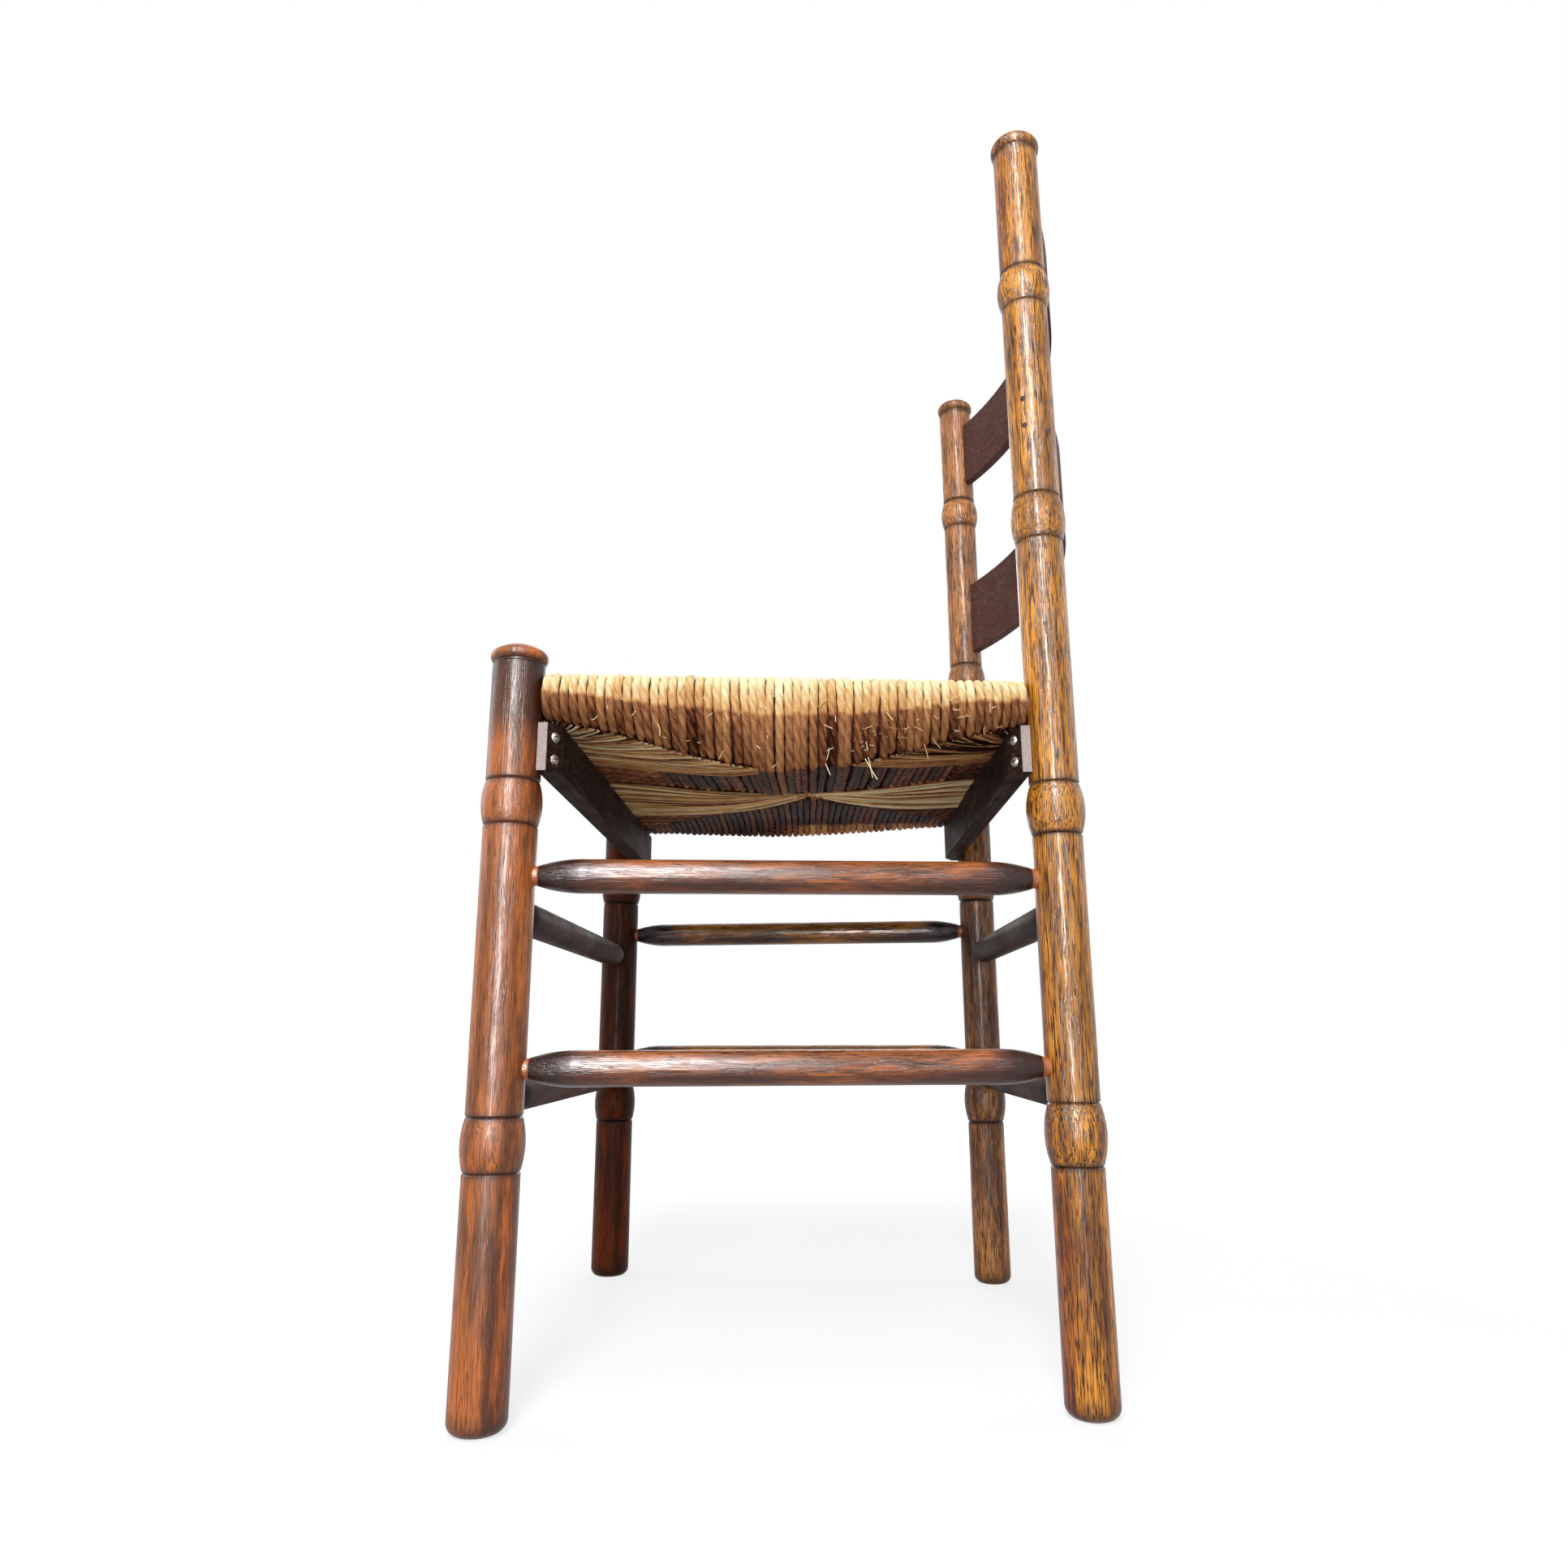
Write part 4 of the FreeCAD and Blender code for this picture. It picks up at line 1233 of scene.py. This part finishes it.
def stuffing_material(rush):
    """Dry rush offcuts: a dark, coarse tangle in the gaps between the cords."""
    material, tree, shader = new_material("dry_rush_offcuts")
    add = partial(add_node, tree)
    coordinates = add("ShaderNodeTexCoord")
    # Tangles of about 3 mm
    tangle = add(
        "ShaderNodeTexNoise",
        inputs={
            "Vector": coordinates.outputs["Object"],
            "Scale": 300.0, "Detail": 5.0, "Roughness": 0.8,
        },
    )
    tint = add(
        "ShaderNodeValToRGB", inputs=(tangle,),
        stops=[(0.35, linear("#1c100b")), (0.6, rush.peat), (0.85, rush.tan)],
    )
    bump = add("ShaderNodeBump", inputs={"Strength": 0.8, "Distance": MM, "Height": tangle})
    fill(tree, shader, {
        "Base Color": tint, "Roughness": 0.9, "Specular IOR Level": 0.1, "Normal": bump,
    })
    return material


def stuffing_section(y, rush, inset):
    """The closed outline of the stuffing at y, as points (x, z)."""
    halves = []
    for sign, belly in ((1.0, rush.left_belly), (-1.0, rush.right_belly)):
        edge = float(rail_x(y))
        full = float(fullness(y))
        top_x = np.linspace(0.0, edge, 16)
        top = np.stack([top_x, top_z(top_x, y) - inset], 1)
        face = outer_face(y, belly, inset)
        low_x = np.linspace(edge - BELLY_INSET * full, 0.0, 16)
        low = np.stack([low_x, bottom_z(low_x * sign, y, belly) + inset], 1)
        half = np.vstack([top, face[1:], low[1:]])
        half[:, 0] *= sign
        halves.append(half)
    return np.vstack([halves[0], halves[1][::-1][1:-1]])


class CHAIR_OT_pack_stuffing(bpy.types.Operator):
    """Fill the seat with dry rush between its upper and lower cords"""

    bl_idname = "chair.pack_stuffing"
    bl_label = "Pack stuffing"

    def execute(self, context):
        rush = context.scene.chair_rush
        inset = rush.diameter * 0.86
        places = np.linspace(FRONT_CORNER[1] + 0.002, BACK_CORNER[1] - 0.002, 40)
        loops = [stuffing_section(y, rush, inset) for y in places]
        size = len(loops[0])
        vertices = []
        for y, loop in zip(places, loops):
            vertices += [(x, y, z) for x, z in loop]
        faces = [tuple(range(size)), tuple(reversed(range(len(vertices) - size, len(vertices))))]
        for row in range(len(loops) - 1):
            for i in range(size):
                j = (i + 1) % size
                a = row * size
                b = a + size
                faces.append((a + i, b + i, b + j, a + j))
        mesh = bpy.data.meshes.new("rush_stuffing")
        mesh.from_pydata(vertices, [], faces)
        mesh.validate()
        mesh.shade_smooth()
        mesh.materials.append(stuffing_material(rush))
        piece = bpy.data.objects.new("rush_stuffing", mesh)
        context.scene.collection.objects.link(piece)
        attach(piece, BODY)
        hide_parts("seat_stuffing")
        return {"FINISHED"}


# Studio

CAMERA_PLACE = (0.8794, 0.1915 + FRONT_Y, 0.2184)
CAMERA_YAW = -0.023
CAMERA_PITCH = 0.2317
CAMERA_ROLL = -0.0031
FOCAL_PIXELS = 1318.4
PHOTO_PIXELS = 1932
SENSOR = 36.0
FLOOR_REACH = 14.0


def camera_matrix():
    """The photograph's view: where the camera stands and how it is turned."""
    forward = Vector((
        -math.cos(CAMERA_YAW) * math.cos(CAMERA_PITCH),
        math.sin(CAMERA_YAW) * math.cos(CAMERA_PITCH),
        math.sin(CAMERA_PITCH),
    ))
    level_right = Vector((math.sin(CAMERA_YAW), math.cos(CAMERA_YAW), 0.0))
    level_up = level_right.cross(forward)
    cosine = math.cos(CAMERA_ROLL)
    sine = math.sin(CAMERA_ROLL)
    right = level_right * cosine + level_up * sine
    up = level_up * cosine - level_right * sine
    turn = Matrix((right, up, -forward)).transposed()
    return Matrix.Translation(CAMERA_PLACE) @ turn.to_4x4()


def soft_box(name, place, target, width, height, power, colour):
    """An upright area light that points at a target."""
    lamp = bpy.data.lights.new(name, "AREA")
    lamp.shape = "RECTANGLE"
    lamp.size = width
    lamp.size_y = height
    lamp.energy = power
    lamp.color = linear(colour)[:3]
    light = bpy.data.objects.new(name, lamp)
    light.location = place
    light.rotation_euler = (Vector(target) - Vector(place)).to_track_quat("-Z", "Y").to_euler()
    bpy.context.scene.collection.objects.link(light)
    return light


def seen_directly(tree):
    """1 where the camera sees a surface itself, in a gloss or through glass, else 0."""
    path = add_node(tree, "ShaderNodeLightPath").outputs
    direct = add_node(
        tree, "ShaderNodeMath", MAXIMUM, (path["Is Camera Ray"], path["Is Glossy Ray"])
    )
    return add_node(tree, "ShaderNodeMath", MAXIMUM, (direct, path["Is Transmission Ray"]))


class CHAIR_OT_set_studio(bpy.types.Operator):
    """Lay the pale floor and set the light and the camera"""

    bl_idname = "chair.set_studio"
    bl_label = "Set studio"

    def execute(self, context):
        scene = context.scene
        studio = scene.chair_studio
        scene.view_settings.view_transform = "Standard"

        world = bpy.data.worlds.new("plain_studio")
        world.use_nodes = True
        tree = world.node_tree
        tree.nodes.clear()
        add = partial(add_node, tree)
        strength = add(
            "ShaderNodeMapRange", inputs=(seen_directly(tree), 0.0, 1.0, studio.ambient, 1.0)
        )
        sky = add("ShaderNodeBackground", inputs={"Color": WHITE, "Strength": strength})
        add("ShaderNodeOutputWorld", inputs=(sky,))
        scene.world = world

        mesh = bpy.data.meshes.new("studio_floor")
        corners = [
            (x * FLOOR_REACH, y * FLOOR_REACH, 0.0)
            for x, y in ((-1, -1), (1, -1), (1, 1), (-1, 1))
        ]
        mesh.from_pydata(corners, [], [(0, 1, 2, 3)])
        floor = bpy.data.objects.new("studio_floor", mesh)
        scene.collection.objects.link(floor)
        material, tree, shader = new_material("painted_studio_floor")
        add = partial(add_node, tree)
        fill(tree, shader, {
            "Base Color": studio.ground, "Roughness": 0.9, "Specular IOR Level": 0.1,
        })
        glow = add("ShaderNodeEmission", inputs={"Color": WHITE, "Strength": 1.2})
        # Away from the chair the floor runs out into the white background
        place = add("ShaderNodeTexCoord").outputs["Object"]
        distance = add("ShaderNodeVectorMath", {"operation": "LENGTH"}, (place,))
        fade = add(
            "ShaderNodeMapRange", SMOOTH, (distance.outputs["Value"], 0.5, 1.5, 0.62, 1.0)
        )
        share = add("ShaderNodeMath", MULTIPLY, (seen_directly(tree), fade))
        mixed = add("ShaderNodeMixShader", inputs=(share, shader, glow))
        output = next(node for node in tree.nodes if node.type == "OUTPUT_MATERIAL")
        fill(tree, output, {"Surface": mixed})
        mesh.materials.append(material)

        seat = (0.1, 0.0, 0.45)
        white = "#ffffff"
        soft_box("key_soft_box", (1.8, -0.2, 1.95), seat, 0.55, 1.7, studio.key, "#f8f9ff")
        # A narrow upright strip that only shows as the gleam down a varnished post
        strip = (1.8, -0.15, 1.0)
        level = (0.2, -0.15, 1.0)
        gleam = soft_box("strip_soft_box", strip, level, 0.3, 2.2, studio.key * 1.7, white)
        gleam.visible_diffuse = False
        for side, place, share in (
            ("front", (-0.6, -2.2, 1.2), 0.2),
            ("back", (-0.6, 2.2, 1.2), 0.14),
            ("right", (-2.3, 0.0, 1.3), 0.3),
        ):
            soft_box(f"{side}_soft_box", place, seat, 1.4, 1.4, studio.key * share, white)

        lens = bpy.data.cameras.new("photo_view")
        lens.sensor_width = SENSOR
        lens.lens = FOCAL_PIXELS * SENSOR / PHOTO_PIXELS
        lens.clip_start = 0.02
        camera = bpy.data.objects.new("photo_view", lens)
        camera.matrix_world = camera_matrix()
        scene.collection.objects.link(camera)
        scene.camera = camera
        return {"FINISHED"}


class CHAIR_PT_panel(bpy.types.Panel):
    """Lists the chair's steps and settings"""

    bl_idname = "CHAIR_PT_panel"
    bl_label = "Ladderback chair"
    bl_space_type = "VIEW_3D"
    bl_region_type = "UI"
    bl_category = "Chair"

    def draw(self, context):
        for step in STEPS:
            self.layout.operator(step.bl_idname)
        for name in SETTINGS:
            group = getattr(context.scene, name)
            box = self.layout.box()
            for setting in group.bl_rna.properties:
                if not setting.is_readonly and setting.identifier != "name":
                    box.prop(group, setting.identifier)


SETTINGS = {
    "chair_wood": CHAIR_PG_wood,
    "chair_rush": CHAIR_PG_rush,
    "chair_studio": CHAIR_PG_studio,
}
STEPS = (
    CHAIR_OT_finish_posts,
    CHAIR_OT_finish_rungs,
    CHAIR_OT_finish_slats,
    CHAIR_OT_finish_boards,
    CHAIR_OT_finish_fixings,
    CHAIR_OT_wind_rush,
    CHAIR_OT_fray_rush,
    CHAIR_OT_pack_stuffing,
    CHAIR_OT_set_studio,
)


def register():
    for name, group in SETTINGS.items():
        bpy.utils.register_class(group)
        setattr(bpy.types.Scene, name, bpy.props.PointerProperty(type=group))
    for step in STEPS:
        bpy.utils.register_class(step)
    bpy.utils.register_class(CHAIR_PT_panel)


def unregister():
    bpy.utils.unregister_class(CHAIR_PT_panel)
    for step in reversed(STEPS):
        bpy.utils.unregister_class(step)
    for name, group in SETTINGS.items():
        delattr(bpy.types.Scene, name)
        bpy.utils.unregister_class(group)


def main():
    """Set up the studio and finish the chair."""
    register()
    bpy.ops.chair.set_studio()
    bpy.ops.chair.finish_posts()
    bpy.ops.chair.finish_rungs()
    bpy.ops.chair.finish_slats()
    bpy.ops.chair.finish_boards()
    bpy.ops.chair.finish_fixings()
    bpy.ops.chair.wind_rush()
    bpy.ops.chair.fray_rush()
    bpy.ops.chair.pack_stuffing()


if __name__ == "__main__":
    main()
